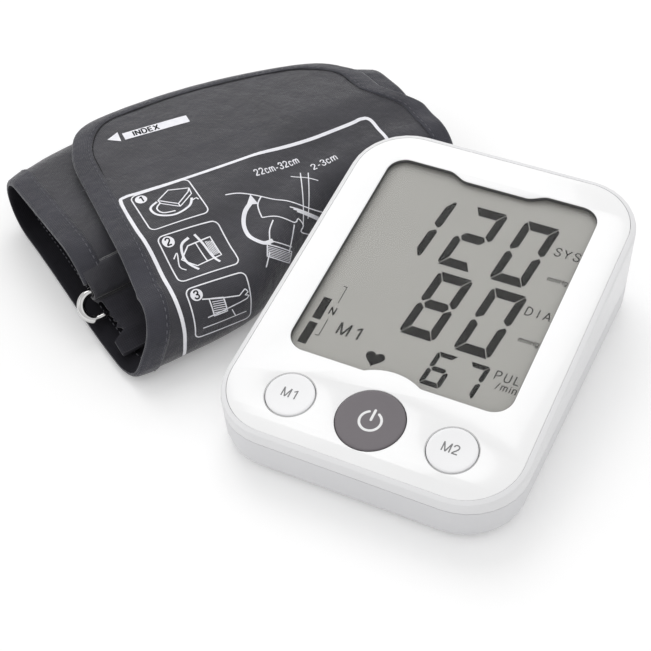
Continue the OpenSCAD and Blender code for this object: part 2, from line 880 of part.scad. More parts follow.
module battery_door() {
    color([0.85, 0.85, 0.87])
    union() {
        intersection() {
            outer_form();
            union() {
                translate([bay_x - door_w / 2, bay_y + door_gap, foot_h])
                    cube([door_w, far, door_t]);
                translate([bay_x - door_w / 2 - rail, bay_y + door_gap, rail_z])
                    cube([door_w + 2 * rail, bay_l, rail_t]);
            }
        }
        for (i = [0:4])
            translate([bay_x - 14, bay_back - 22 + i * 3, foot_h - 0.4])
                cube([28, 1.2, 0.5]);
    }
}

// ================= fasteners and feet =================

module rubber_feet() {
    color([0.3, 0.3, 0.31])
    for (p = FEET)
        translate([p[0], p[1], 0])
            rotate_extrude()
                polygon([[0, 0], [foot_r - 0.4, 0], [foot_r, 0.4], [foot_r, 2 * foot_h - touch],
                    [0, 2 * foot_h - touch]]);
}

module case_screws() {
    color([0.6, 0.6, 0.62])
    for (p = POSTS)
        translate([p[0], p[1], screw_seat_z]) {
            translate([0, 0, -1.6])
                difference() {
                    cylinder(r = screw_head_r, h = 1.6);
                    translate([0, 0, -1])
                        linear_extrude(1.9) {
                            square([3, 0.8], center = true);
                            square([0.8, 3], center = true);
                        }
                }
            cylinder(r = screw_r, h = face_pt(0, p[1], deck_bottom)[2] - screw_seat_z - 0.6);
        }
}

// ================= cuff =================

function front_b(s) = front_start + roll_dent * smooth(dent_from, dent_to, s)
    - front_relax * smooth(118, cuff_w, s);
function back_b(s) = let (t = s / cuff_w) mix(roll_left, roll_right, t) + roll_bulge * 4 * t * (1 - t);
function front_mid(s) = front_b(s) + sheet_t / 2 + fold_r;
function back_mid(s) = back_b(s) - sheet_t / 2 - fold_r;
function loop_b_at(s) = loop_b + s * tan(loop_yaw);
function droop_b(s) = loop_b_at(s) + droop_r * sin(droop_angle) + (sleeve_r + 0.3) * cos(droop_angle);

// Middle of the sheet and its outward normal in the (b, z) plane at s. The path
// g runs 0 to 7: droop, inner top, back fold, bottom, front fold, flap, flap end.
function section(g, s) =
    g < 1 ? let (a = droop_angle * (1 - g))
        [droop_b(s) - droop_r * sin(a), inner_z - droop_r * (1 - cos(a)), -sin(a), cos(a)] :
    g < 2 ? [mix(droop_b(s), back_mid(s), g - 1), inner_z, 0, 1] :
    g < 3 ? let (a = 180 * (g - 2))
        [back_mid(s) + fold_r * sin(a), fold_z + fold_r * cos(a), sin(a), cos(a)] :
    g < 4 ? [mix(back_mid(s), front_mid(s), g - 3), bottom_z, 0, -1] :
    g < 5 ? let (a = 180 * (g - 4))
        [front_mid(s) - fold_r * sin(a), fold_z - fold_r * cos(a), -sin(a), -cos(a)] :
    g < 6 ? let (b = mix(front_mid(s), back_mid(s), g - 5))
        [b, mix(inner_z, fold_z + flap_r, smooth(0, flap_rise, b - front_mid(s))), 0, 1] :
    let (a = flap_end_angle * (g - 6))
        [back_mid(s) + flap_r * sin(a), fold_z + flap_r * cos(a), sin(a), cos(a)];
function sheet_pt(g, s, o) = let (p = section(g, s)) [s, p[0] + o * p[2], p[1] + o * p[3]];

// Distance from the flap's free edge, and the path value at such a distance
flap_flat = back_mid(cuff_w / 2) - front_mid(cuff_w / 2);
function edge_gap(g) = g < 6 ? flap_end_l + (6 - g) * flap_flat : flap_end_l * (7 - g);
function g_at_gap(d) = d > flap_end_l ? 6 - (d - flap_end_l) / flap_flat : 7 - d / flap_end_l;

// Where the sheet's left and right edges lie along the roll
function edge_left(g) = g < 4 ? 0 : g < 5 ? flap_s0 * smooth(4, 5, g) :
    flap_s0 + flap_taper * flap_flat * min(1, g - 5);
function edge_right(g) = g < 5 ? cuff_w : mix(cuff_w, flap_s1, smooth(5.2, 5.6, g));
function corner_in(d, r) = d >= r ? 0 : r - sqrt(max(0, r * r - (r - d) * (r - d)));

main_rows = [0, 0.34, 0.67, 1, 1.5, 2, 2.17, 2.33, 2.5, 2.67, 2.83, 3, 3.33, 3.67, 4,
    4.17, 4.33, 4.5, 4.67, 4.83, 5, 5.15, 5.3, 5.5];
corner_step = 11.25;
flap_seam_g = 4;
flap_from_g = flap_seam_g + 0.002;
end_rows = [for (a = [0:corner_step:90]) g_at_gap(flap_corner_r * (1 - sin(a)))];
all_rows = concat(main_rows, end_rows);
col_count = 10;

// One row of points across the sheet at g, offset o, kept away from the edges
function row(g, o, inset) = let (
    round_in = corner_in(edge_gap(g), flap_corner_r),
    s0 = edge_left(g) + round_in + inset,
    s1 = edge_right(g) - round_in - inset,
    hem = inset > 0 ? 0 : binding_w,
    inner = [for (j = [0:col_count]) mix(s0 + hem, s1 - hem, j / col_count)],
    all = hem > 0 ? concat([s0], inner, [s1]) : inner)
    [for (s = all) sheet_pt(g, s, o)];

module cuff_frame() {
    translate([cuff_x, cuff_y, 0])
        rotate(roll_angle)
            children();
}

module sheet_layer(rows, o0, o1, inset) {
    cuff_frame()
        slab([for (g = rows) row(g, o1, inset)], [for (g = rows) row(g, o0, inset)]);
}

// The outer cloth is sewn from three panels: the end that holds the loop, the body
// round the bladder, and the flap. It takes the rows from one path value to another.
module cloth_panel(from, to) {
    rows = concat([from], [for (g = all_rows) if (g > from && g <= to) g]);
    color([0.34, 0.34, 0.37])
        sheet_layer(rows, sheet_t / 2 - fabric_t, sheet_t / 2, 0);
}

module loop_end_panel() {
    cloth_panel(0, 1);
}

module cuff_fabric() {
    cloth_panel(1, flap_seam_g);
}

module flap_panel() {
    cloth_panel(flap_from_g, 7);
}

module cuff_lining() {
    color([0.12, 0.12, 0.13])
        sheet_layer(all_rows, -sheet_t / 2, -sheet_t / 2 + fabric_t, 0);
}

module air_bladder() {
    rows = [for (g = all_rows) if (g >= 1.4 && g <= 3.9) g];
    half = sheet_t / 2 - fabric_t - 0.3;
    color([0.5, 0.5, 0.48])
        sheet_layer(rows, -half, half, 1.5 * binding_w);
}

module hook_patch() {
    rows = [5.5, 5.6, 5.7, 5.8, 5.9];
    color([0.15, 0.15, 0.16])
        sheet_layer(rows, -sheet_t / 2 - fit - 0.6, -sheet_t / 2 - fit, 2 * binding_w);
}

module loop_patch() {
    rows = [1.35, 1.6, 1.85];
    color([0.22, 0.22, 0.24])
        sheet_layer(rows, sheet_t / 2 + fit, sheet_t / 2 + fit + 0.6, 4 * binding_w);
}

// Section of the tape folded over the sheet's edge: distance in from it, and offset
tape_low = sheet_t / 2 + binding_skin;
tape_top = tape_low + binding_t;
tape_mid = binding_w / 2;
tape_fold = -binding_skin - binding_t;
TAPE = [[binding_w, tape_low], [tape_mid, tape_low], [-binding_skin, tape_low],
    [-binding_skin, -tape_low], [tape_mid, -tape_low], [binding_w, -tape_low],
    [binding_w, -tape_top], [tape_mid, -tape_top], [tape_fold, -tape_top],
    [tape_fold, tape_top], [tape_mid, tape_top], [binding_w, tape_top]];

function left_tape(g) = [for (p = TAPE) sheet_pt(g, edge_left(g) + p[0], p[1])];
function right_tape(g) = [for (p = TAPE) sheet_pt(g, edge_right(g) - p[0], p[1])];
function reversed(list) = [for (k = [len(list) - 1:-1:0]) list[k]];

// Tape along both edges of the roll, from the loop's end to the flap's seam
module body_binding() {
    rows = [for (g = main_rows) if (g <= flap_seam_g) g];
    color([0.3, 0.3, 0.34])
    cuff_frame() {
        loft([for (g = rows) left_tape(g)]);
        loft([for (g = reversed(rows)) right_tape(g)]);
    }
}

// Tape from the flap's seam up one edge, round the free edge and down the other
module cuff_binding() {
    rows = concat([flap_from_g],
        [for (g = main_rows) if (g > flap_seam_g && edge_gap(g) > flap_corner_r + 2) g]);
    s_right = edge_right(6);
    r = flap_corner_r;
    corner_left = [for (a = [0:corner_step:90]) [for (p = TAPE)
        let (g = g_at_gap(r - (r - p[0]) * sin(a)))
        sheet_pt(g, edge_left(g) + r - (r - p[0]) * cos(a), p[1])]];
    corner_right = [for (a = [90:-corner_step:0]) [for (p = TAPE)
        sheet_pt(g_at_gap(r - (r - p[0]) * sin(a)), s_right - r + (r - p[0]) * cos(a), p[1])]];
    free = [for (t = [0.2, 0.4, 0.6, 0.8]) [for (p = TAPE)
        sheet_pt(g_at_gap(p[0]), mix(edge_left(6) + r, s_right - r, t), p[1])]];
    color([0.3, 0.3, 0.34])
    cuff_frame()
        loft(concat([for (g = rows) left_tape(g)], corner_left, free, corner_right,
            [for (g = reversed(rows)) right_tape(g)]));
}

inlet_s = cuff_w - 16;
inlet_b = 55;
inlet_r = inlet_bore_r + 1.5;

// Moulded nozzle bonded to the lining, with its pipe out of the cuff's right end
module hose_inlet() {
    base_z = bottom_z + sheet_t / 2 + 0.05;
    pipe_z = base_z + inlet_r + 0.9;
    pipe_l = 26;
    color([0.25, 0.25, 0.26])
    cuff_frame()
        difference() {
            union() {
                translate([inlet_s, inlet_b, base_z])
                    cylinder(r = 7.5, h = 1.2);
                translate([inlet_s - 4, inlet_b - 2.5, base_z])
                    cube([12, 5, 3]);
                translate([inlet_s - 4, inlet_b, pipe_z])
                    rotate([0, 90, 0])
                        cylinder(r = inlet_r, h = pipe_l);
            }
            translate([inlet_s, inlet_b, pipe_z])
                rotate([0, 90, 0])
                    cylinder(r = inlet_bore_r, h = pipe_l);
        }
}

module loop_frame() {
    cuff_frame()
        translate([0, loop_b, loop_z])
            rotate([0, 0, loop_yaw])
                rotate([loop_tilt, 0, 0])
                    children();
}

module ring_sleeve() {
    color([0.3, 0.3, 0.33])
    loop_frame()
        translate([4, 0, 0])
            rotate([0, 90, 0])
                difference() {
                    cylinder(r = sleeve_r, h = loop_l - 8);
                    translate([0, 0, -1])
                        cylinder(r = wire_r + 0.3, h = far);
                }
}

module steel_loop() {
    color([0.8, 0.81, 0.83])
    loop_frame() {
        for (y = [0, -loop_gap])
            translate([0, y, 0])
                rotate([0, 90, 0])
                    cylinder(r = wire_r, h = loop_l);
        for (x = [0, loop_l])
            translate([x, -loop_gap / 2, 0])
                rotate([0, 0, x > 0 ? -90 : 90])
                    rotate_extrude(angle = 180)
                        translate([loop_gap / 2, 0])
                            circle(wire_r);
    }
}

front_cover();
rear_cover();
faceplate();
display_window();
lcd_panel();
lcd_reflector();
lcd_frame();
zebra_strip();
main_board();
controller_chip();
buzzer();
pressure_sensor();
tact_switches();
plunger(KEYS[1]);  // power_plunger
plunger(KEYS[0]);  // memory_1_plunger
plunger(KEYS[2]);  // memory_2_plunger
power_button();
memory_1_button();
memory_2_button();
air_socket();
dc_socket();
tee_manifold();
socket_tube();
pump_tube();
valve_tube();
sensor_tube();
air_pump();
pump_motor();
pump_cradle();
deflation_valve();
battery_cells();
battery_contacts();
battery_springs();
battery_door();
rubber_feet();
case_screws();
board_screws();
loop_end_panel();
cuff_fabric();
flap_panel();
cuff_lining();
air_bladder();
body_binding();
cuff_binding();
hook_patch();
loop_patch();
hose_inlet();
ring_sleeve();
steel_loop();
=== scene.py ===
# %% [markdown]
# # A desk blood pressure monitor and its rolled arm cuff
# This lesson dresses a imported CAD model: the covers, the sockets, the feet and
# the inner parts come from it. The faceplate, the keys, the display's figures
# and the soft cuff with its print are modelled here.
# Everything is in metres in the CAD model's own frame. The origin lies on the
# table under the middle of the face, X runs to the right of the display and Y
# towards its top.

# %% Load the frame
import json
import math

import bmesh
import bpy
from mathutils import Matrix, Vector, noise


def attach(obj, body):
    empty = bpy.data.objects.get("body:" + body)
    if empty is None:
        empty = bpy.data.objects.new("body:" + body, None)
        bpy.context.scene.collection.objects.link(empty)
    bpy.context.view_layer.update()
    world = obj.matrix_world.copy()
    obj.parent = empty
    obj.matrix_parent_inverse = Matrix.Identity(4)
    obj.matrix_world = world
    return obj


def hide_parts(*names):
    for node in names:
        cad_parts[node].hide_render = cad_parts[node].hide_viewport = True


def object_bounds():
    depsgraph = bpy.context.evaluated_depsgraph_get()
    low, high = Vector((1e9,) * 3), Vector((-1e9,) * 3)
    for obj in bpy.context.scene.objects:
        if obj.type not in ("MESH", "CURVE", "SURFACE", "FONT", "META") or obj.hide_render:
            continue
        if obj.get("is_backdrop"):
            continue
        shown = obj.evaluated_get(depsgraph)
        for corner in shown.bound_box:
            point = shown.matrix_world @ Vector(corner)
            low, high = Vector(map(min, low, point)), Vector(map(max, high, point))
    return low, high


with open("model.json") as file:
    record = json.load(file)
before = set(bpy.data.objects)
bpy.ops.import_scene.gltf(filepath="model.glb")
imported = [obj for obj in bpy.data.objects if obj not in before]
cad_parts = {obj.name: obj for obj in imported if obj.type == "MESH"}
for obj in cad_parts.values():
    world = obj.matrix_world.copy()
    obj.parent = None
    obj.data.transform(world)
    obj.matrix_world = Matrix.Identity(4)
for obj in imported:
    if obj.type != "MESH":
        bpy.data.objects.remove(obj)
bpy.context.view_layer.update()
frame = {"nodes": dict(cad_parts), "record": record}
MM = 0.001
NODES = frame["nodes"]

# %% [markdown]
# ## Camera, table and light
# The camera stands in front of the monitor's right corner and looks down at
# about 45 degrees. Its three directions were worked out from the corners of the
# face, so they are written as vectors rather than as angles.

# %% Camera
CAMERA_AT = Vector((126.47, -312.45, 353.34)) * MM
LOOK = Vector((-0.335, 0.626, -0.7047)).normalized()
RIGHT = Vector((0.897, 0.441, -0.035))
RIGHT = (RIGHT - LOOK * RIGHT.dot(LOOK)).normalized()
UP = RIGHT.cross(LOOK)
camera = bpy.data.objects.new("camera", bpy.data.cameras.new("camera"))
bpy.context.scene.collection.objects.link(camera)
camera.data.sensor_width = 36.0
camera.data.lens = 78.18
camera.data.clip_start = 0.01
camera.data.clip_end = 20.0
camera.matrix_world = Matrix.Translation(CAMERA_AT) @ Matrix((RIGHT, UP, -LOOK)).transposed().to_4x4()
bpy.context.scene.camera = camera
bpy.context.scene.view_settings.view_transform = "Standard"
print("camera looks along", [round(x, 3) for x in LOOK])

# %% [markdown]
# A material starts from one Principled shader. The helper below makes it and
# hands back its tree, so that each finish only adds what is its own.


# %% Material helper
def new_finish(name, color, roughness, **sockets):
    """A material with its Principled shader set to plain values."""
    material = bpy.data.materials.new(name)
    material.use_nodes = True
    shader = material.node_tree.nodes["Principled BSDF"]
    shader.inputs["Base Color"].default_value = (*color, 1.0)
    shader.inputs["Roughness"].default_value = roughness
    for socket, value in sockets.items():
        shader.inputs[socket.replace("_", " ")].default_value = value
    return material, material.node_tree, shader


def add(tree, kind, **values):
    """A node of that kind, with its inputs set by name."""
    node = tree.nodes.new(kind)
    for key, value in values.items():
        if hasattr(node, key):
            setattr(node, key, value)
        else:
            node.inputs[key.replace("_", " ")].default_value = value
    return node


# %% [markdown]
# The table is a wide white sheet. It is seen white by the camera, and it keeps
# the soft shadow of the monitor: a little light of its own, which only the camera
# and reflections see, lifts it to paper white.


# %% Table
TABLE_GLOW = 0.18


def make_table():
    """A floor plane that the shadows fall on."""
    bm = bmesh.new()
    bmesh.ops.create_grid(bm, x_segments=1, y_segments=1, size=6.0)
    mesh = bpy.data.meshes.new("table")
    bm.to_mesh(mesh)
    bm.free()
    table = bpy.data.objects.new("table", mesh)
    bpy.context.scene.collection.objects.link(table)
    material, tree, shader = new_finish("table_white", (0.9, 0.9, 0.9), 0.9)
    rays = add(tree, "ShaderNodeLightPath")
    both = add(tree, "ShaderNodeMath", operation="MAXIMUM")
    tree.links.new(rays.outputs["Is Camera Ray"], both.inputs[0])
    tree.links.new(rays.outputs["Is Glossy Ray"], both.inputs[1])
    glow = add(tree, "ShaderNodeMix", data_type="RGBA")
    glow.inputs[6].default_value = (0.0, 0.0, 0.0, 1.0)
    glow.inputs[7].default_value = (TABLE_GLOW, TABLE_GLOW, TABLE_GLOW, 1.0)
    tree.links.new(both.outputs[0], glow.inputs[0])
    tree.links.new(glow.outputs[2], shader.inputs["Emission Color"])
    shader.inputs["Emission Strength"].default_value = 1.0
    mesh.materials.append(material)
    table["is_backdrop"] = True
    return table


make_table()

# %% [markdown]
# One large lamp stands behind the left shoulder of the monitor, so the shadows
# fall towards the viewer and to the right, as soft as a studio tent makes them.
# Two weak lamps in front, one on each side, lift the shadows, and the world
# fills the rest.


# %% Light
WORLD_LIGHT = 0.71


def make_lamp(name, place, aim, size, power):
    """A square area lamp that looks at a point."""
    lamp = bpy.data.objects.new(name, bpy.data.lights.new(name, "AREA"))
    bpy.context.scene.collection.objects.link(lamp)
    lamp.data.size = size
    lamp.data.energy = power
    lamp.location = place
    lamp.rotation_euler = (Vector(aim) - Vector(place)).to_track_quat("-Z", "Y").to_euler()


make_lamp("key_lamp", (-0.55, 0.75, 1.15), (0.0, 0.0, 0.0), 1.0, 6.1)
make_lamp("soft_lamp", (0.9, -0.6, 1.4), (0.0, 0.0, 0.0), 1.2, 1.2)
make_lamp("front_lamp", (-0.9, -0.8, 0.9), (0.0, 0.0, 0.0), 1.1, 1.3)
world = bpy.data.worlds.new("studio")
bpy.context.scene.world = world
world.use_nodes = True
world.node_tree.nodes["Background"].inputs["Color"].default_value = (1.0, 1.0, 1.0, 1.0)
world.node_tree.nodes["Background"].inputs["Strength"].default_value = WORLD_LIGHT
print("lamps set")

# %% [markdown]
# ## Effects that several finishes share
# Each effect is a node group with named inputs. Fine grain is the tiny texture
# of a moulded surface, mottle is the slow change of tone over a large one, and
# weave is the over-and-under of threads, laid along a piece's own UV map.


# %% Effect groups
def new_group(name, inputs, outputs):
    """An empty node group with number or colour sockets."""
    group = bpy.data.node_groups.new(name, "ShaderNodeTree")
    for label, kind, value in inputs:
        socket = group.interface.new_socket(label, in_out="INPUT", socket_type=kind)
        socket.default_value = value
    for label, kind in outputs:
        group.interface.new_socket(label, in_out="OUTPUT", socket_type=kind)
    start = group.nodes.new("NodeGroupInput")
    end = group.nodes.new("NodeGroupOutput")
    return group, start, end


FLOAT = "NodeSocketFloat"
COLOR = "NodeSocketColor"


def grain_group():
    """Height of a fine moulded grain, size in metres."""
    group, start, end = new_group("fine_grain", [("Size", FLOAT, 0.0004)], [("Height", FLOAT)])
    place = add(group, "ShaderNodeTexCoord")
    per_metre = add(group, "ShaderNodeMath", operation="DIVIDE")
    per_metre.inputs[0].default_value = 1.0
    group.links.new(start.outputs["Size"], per_metre.inputs[1])
    spots = add(group, "ShaderNodeTexNoise", Detail=2.0, Roughness=0.5)
    group.links.new(place.outputs["Object"], spots.inputs["Vector"])
    group.links.new(per_metre.outputs[0], spots.inputs["Scale"])
    group.links.new(spots.outputs["Fac"], end.inputs["Height"])
    return group


def mottle_group():
    """A colour that drifts between two tones."""
    group, start, end = new_group(
        "mottle",
        [("Size", FLOAT, 0.02), ("Light", COLOR, (1, 1, 1, 1)), ("Dark", COLOR, (0.9, 0.9, 0.9, 1))],
        [("Color", COLOR)])
    place = add(group, "ShaderNodeTexCoord")
    per_metre = add(group, "ShaderNodeMath", operation="DIVIDE")
    per_metre.inputs[0].default_value = 1.0
    group.links.new(start.outputs["Size"], per_metre.inputs[1])
    cloud = add(group, "ShaderNodeTexNoise", Detail=4.0, Roughness=0.6)
    group.links.new(place.outputs["Object"], cloud.inputs["Vector"])
    group.links.new(per_metre.outputs[0], cloud.inputs["Scale"])
    spread = add(group, "ShaderNodeMapRange", From_Min=0.3, From_Max=0.7)
    group.links.new(cloud.outputs["Fac"], spread.inputs["Value"])
    blend = add(group, "ShaderNodeMix", data_type="RGBA")
    group.links.new(spread.outputs["Result"], blend.inputs[0])
    group.links.new(start.outputs["Light"], blend.inputs[6])
    group.links.new(start.outputs["Dark"], blend.inputs[7])
    group.links.new(blend.outputs[2], end.inputs["Color"])
    return group


def weave_group():
    """Height of a plain weave. The UV map is in metres, so the pitch is too."""
    group, start, end = new_group("plain_weave", [("Pitch", FLOAT, 0.0006)], [("Height", FLOAT)])
    place = add(group, "ShaderNodeTexCoord")
    turn = add(group, "ShaderNodeMath", operation="DIVIDE")
    turn.inputs[0].default_value = math.pi
    group.links.new(start.outputs["Pitch"], turn.inputs[1])
    scaled = add(group, "ShaderNodeVectorMath", operation="SCALE")
    group.links.new(place.outputs["UV"], scaled.inputs[0])
    group.links.new(turn.outputs[0], scaled.inputs["Scale"])
    axes = add(group, "ShaderNodeSeparateXYZ")
    group.links.new(scaled.outputs[0], axes.inputs[0])
    sines = []
    for axis in ("X", "Y"):
        wave = add(group, "ShaderNodeMath", operation="SINE")
        group.links.new(axes.outputs[axis], wave.inputs[0])
        sines.append(wave)
    product = add(group, "ShaderNodeMath", operation="MULTIPLY")
    group.links.new(sines[0].outputs[0], product.inputs[0])
    group.links.new(sines[1].outputs[0], product.inputs[1])
    bulge = add(group, "ShaderNodeMath", operation="ABSOLUTE")
    group.links.new(product.outputs[0], bulge.inputs[0])
    round_off = add(group, "ShaderNodeMath", operation="POWER")
    round_off.inputs[1].default_value = 0.6
    group.links.new(bulge.outputs[0], round_off.inputs[0])
    group.links.new(round_off.outputs[0], end.inputs["Height"])
    return group


GRAIN = grain_group()
MOTTLE = mottle_group()
WEAVE = weave_group()


def use(tree, group, **values):
    """One placed copy of an effect group."""
    node = tree.nodes.new("ShaderNodeGroup")
    node.node_tree = group
    for key, value in values.items():
        node.inputs[key].default_value = value
    return node


def bump(tree, shader, height, depth):
    """Feeds a height, in metres when full, to the shader's normal."""
    node = add(tree, "ShaderNodeBump", Strength=1.0, Distance=depth)
    tree.links.new(height, node.inputs["Height"])
    last = shader.inputs["Normal"].links
    if last:
        tree.links.new(last[0].from_socket, node.inputs["Normal"])
    tree.links.new(node.outputs["Normal"], shader.inputs["Normal"])


print("effects:", [g.name for g in (GRAIN, MOTTLE, WEAVE)])

# %% [markdown]
# ## Finishes of the hard parts
# The covers are white moulded plastic with a faint grain. Its tone drifts very
# slightly, which keeps a large white wall from looking painted on.


# %% Moulded plastic
def moulded(name, color, roughness, grain=0.0005, depth=0.00001, drift=0.97, **sockets):
    """Moulded plastic: slow drift of tone and fine grain."""
    material, tree, shader = new_finish(name, color, roughness, **sockets)
    tone = use(tree, MOTTLE, Size=0.03, Light=(*color, 1.0), Dark=(*[c * drift for c in color], 1.0))
    tree.links.new(tone.outputs["Color"], shader.inputs["Base Color"])
    spots = use(tree, GRAIN, Size=grain)
    rough = add(tree, "ShaderNodeMapRange", To_Min=roughness * 0.9, To_Max=roughness * 1.1)
    tree.links.new(spots.outputs["Height"], rough.inputs["Value"])
    tree.links.new(rough.outputs["Result"], shader.inputs["Roughness"])
    bump(tree, shader, spots.outputs["Height"], depth)
    return material


def metal(name, color, roughness, scratch=0.00025):
    """Plated or drawn metal with faint lines in its polish."""
    material, tree, shader = new_finish(name, color, roughness, Metallic=1.0)
    lines = use(tree, GRAIN, Size=scratch)
    rough = add(tree, "ShaderNodeMapRange", To_Min=roughness * 0.7, To_Max=roughness * 1.5)
    tree.links.new(lines.outputs["Height"], rough.inputs["Value"])
    tree.links.new(rough.outputs["Result"], shader.inputs["Roughness"])
    bump(tree, shader, lines.outputs["Height"], 0.000002)
    return material


FINISH = {
    "cover_white": moulded("cover_white", (0.86, 0.86, 0.87), 0.35, Coat_Weight=0.15),
    "cover_grey": moulded("cover_grey", (0.77, 0.77, 0.785), 0.42),
    "faceplate": moulded("faceplate_gloss", (0.96, 0.96, 0.962), 0.22, depth=0.000002, Coat_Weight=0.3),
    "reflector": moulded("reflector_film", (0.85, 0.85, 0.82), 0.5),
    "inner_white": moulded("inner_white", (0.82, 0.82, 0.82), 0.5),
    "zebra": moulded("contact_rubber", (0.1, 0.1, 0.11), 0.7),
    "board": moulded("board_green", (0.02, 0.14, 0.05), 0.4),
    "chip": moulded("chip_black", (0.03, 0.03, 0.03), 0.55),
    "sensor": moulded("sensor_cream", (0.6, 0.59, 0.53), 0.5),
    "switch": metal("switch_steel", (0.5, 0.5, 0.52), 0.35),
    "plunger": moulded("plunger_black", (0.03, 0.03, 0.03), 0.5),
    "power_key": moulded("key_mauve", (0.162, 0.146, 0.158), 0.5, depth=0.00002, drift=0.9),
    "memory_key": moulded("key_white", (0.93, 0.93, 0.94), 0.3, depth=0.000004),
    "socket_grey": moulded("socket_grey", (0.5, 0.5, 0.52), 0.45),
    "socket_black": moulded("socket_black", (0.02, 0.02, 0.022), 0.4),
    "manifold": moulded("manifold_grey", (0.5, 0.52, 0.55), 0.45),
    "tube": moulded("tube_soft", (0.6, 0.62, 0.6), 0.35),
    "pump": moulded("pump_black", (0.07, 0.07, 0.08), 0.45),
    "motor": metal("motor_can", (0.56, 0.57, 0.6), 0.32),
    "cradle": moulded("cradle_foam", (0.05, 0.05, 0.05), 0.9, depth=0.0001),
    "valve": metal("valve_can", (0.5, 0.51, 0.54), 0.3),
    "cell": moulded("cell_wrap", (0.04, 0.16, 0.08), 0.3),
    "contact": metal("contact_plate", (0.75, 0.74, 0.7), 0.2),
    "door": moulded("door_grey", (0.77, 0.77, 0.785), 0.42),
    "foot": moulded("foot_rubber", (0.06, 0.06, 0.062), 0.8, depth=0.00003),
    "screw": metal("screw_zinc", (0.55, 0.54, 0.5), 0.35),
    "inlet": moulded("inlet_grey", (0.05, 0.05, 0.055), 0.5),
    "steel": metal("polished_wire", (0.66, 0.655, 0.65), 0.07),
}
print("hard finishes:", len(FINISH))

# %% [markdown]
# The display window is clear plastic. Light has to reach the display through
# it, so it is thin, smooth and fully transmitting.

# %% Clear window
window_clear, tree, shader = new_finish(
    "window_clear", (1.0, 1.0, 1.0), 0.02, Transmission_Weight=1.0, IOR=1.15)
lets_through = add(tree, "ShaderNodeBsdfTransparent")
either = add(tree, "ShaderNodeMixShader")
rays = add(tree, "ShaderNodeLightPath")
unseen = add(tree, "ShaderNodeMath", operation="MAXIMUM")
tree.links.new(rays.outputs["Is Shadow Ray"], unseen.inputs[0])
tree.links.new(rays.outputs["Is Diffuse Ray"], unseen.inputs[1])
tree.links.new(unseen.outputs[0], either.inputs[0])
tree.links.new(shader.outputs[0], either.inputs[1])
tree.links.new(lets_through.outputs[0], either.inputs[2])
tree.links.new(either.outputs[0], tree.nodes["Material Output"].inputs["Surface"])
FINISH["window"] = window_clear

# %% [markdown]
# The liquid crystal glass is warm grey. It carries a painted shadow: it is darker
# along its left and top edges, where the frame's shadow falls. It also has a very
# fine speckle from its rear film.

# %% Display glass
lcd_grey, tree, shader = new_finish("display_grey", (0.4, 0.394, 0.37), 0.8, Specular_IOR_Level=0.2)
tone = use(tree, MOTTLE, Size=0.05, Light=(0.41, 0.404, 0.38, 1.0), Dark=(0.388, 0.382, 0.36, 1.0))
place = add(tree, "ShaderNodeTexCoord")
axes = add(tree, "ShaderNodeSeparateXYZ")
tree.links.new(place.outputs["Object"], axes.inputs[0])
# Painted shadow: towards the left and top edges the glass colour is multiplied down to 0.72, where the
# frame's shadow falls.
left = add(tree, "ShaderNodeMapRange", From_Min=-0.0395, From_Max=-0.0345, To_Min=0.72, To_Max=1.0)
top = add(tree, "ShaderNodeMapRange", From_Min=0.0512, From_Max=0.0556, To_Min=1.0, To_Max=0.72)
tree.links.new(axes.outputs["X"], left.inputs["Value"])
tree.links.new(axes.outputs["Y"], top.inputs["Value"])
edge = add(tree, "ShaderNodeMath", operation="MULTIPLY")
tree.links.new(left.outputs["Result"], edge.inputs[0])
tree.links.new(top.outputs["Result"], edge.inputs[1])
painted_frame_shadow = add(tree, "ShaderNodeMix", data_type="RGBA", blend_type="MULTIPLY")
painted_frame_shadow.inputs[0].default_value = 1.0
tree.links.new(tone.outputs["Color"], painted_frame_shadow.inputs[6])
tree.links.new(edge.outputs[0], painted_frame_shadow.inputs[7])
tree.links.new(painted_frame_shadow.outputs[2], shader.inputs["Base Color"])
speckle = use(tree, GRAIN, Size=0.0003)
bump(tree, shader, speckle.outputs["Height"], 0.000004)
FINISH["lcd"] = lcd_grey
print("display finishes set")

# %% [markdown]
# ## The carried-over CAD pieces
# The covers, sockets, door, feet and inner parts keep their CAD meshes. Those
# meshes are loose triangles, so each gets a Weld, an Edge Split at its real
# corners and area-weighted normals: flat walls then shade flat and round
# corners shade round, and no vertex of the CAD piece moves.


# %% Dress the CAD pieces
def shade_cad(piece, angle=28.0):
    """Smooth shading with crisp corners, by modifiers only."""
    for face in piece.data.polygons:
        face.use_smooth = True
    weld = piece.modifiers.new("weld", "WELD")
    weld.merge_threshold = 0.000002
    split = piece.modifiers.new("corners", "EDGE_SPLIT")
    split.split_angle = math.radians(angle)
    normals = piece.modifiers.new("flat_walls", "WEIGHTED_NORMAL")
    normals.weight = 90
    normals.keep_sharp = True


slots = {row["node"]: row["material_slot"] for row in frame["record"]["subparts"]}
for name, piece in NODES.items():
    if slots[name] not in FINISH:
        continue
    piece.data.materials.clear()
    piece.data.materials.append(FINISH[slots[name]])
    shade_cad(piece)
print("dressed", sum(1 for n in NODES if slots[n] in FINISH), "CAD pieces")

# %% [markdown]
# ## Helpers for new pieces
# Every new piece ends the same way: its mesh becomes an object at the origin,
# takes a finish and rides on its body.


# %% Piece helper
def make_piece(name, bm, finish, body, smooth=True, replaces=()):
    """Turns a bmesh into a piece that rides on a body."""
    mesh = bpy.data.meshes.new(name)
    bm.to_mesh(mesh)
    bm.free()
    piece = bpy.data.objects.new(name, mesh)
    bpy.context.scene.collection.objects.link(piece)
    for material in finish if isinstance(finish, (list, tuple)) else [finish]:
        mesh.materials.append(material)
    for face in mesh.polygons:
        face.use_smooth = smooth
    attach(piece, body)
    if replaces:
        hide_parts(*replaces)
    return piece


FACE_TILT = math.radians(9.0)
FACE_H = 18.7 + 69.0 * math.sin(FACE_TILT)


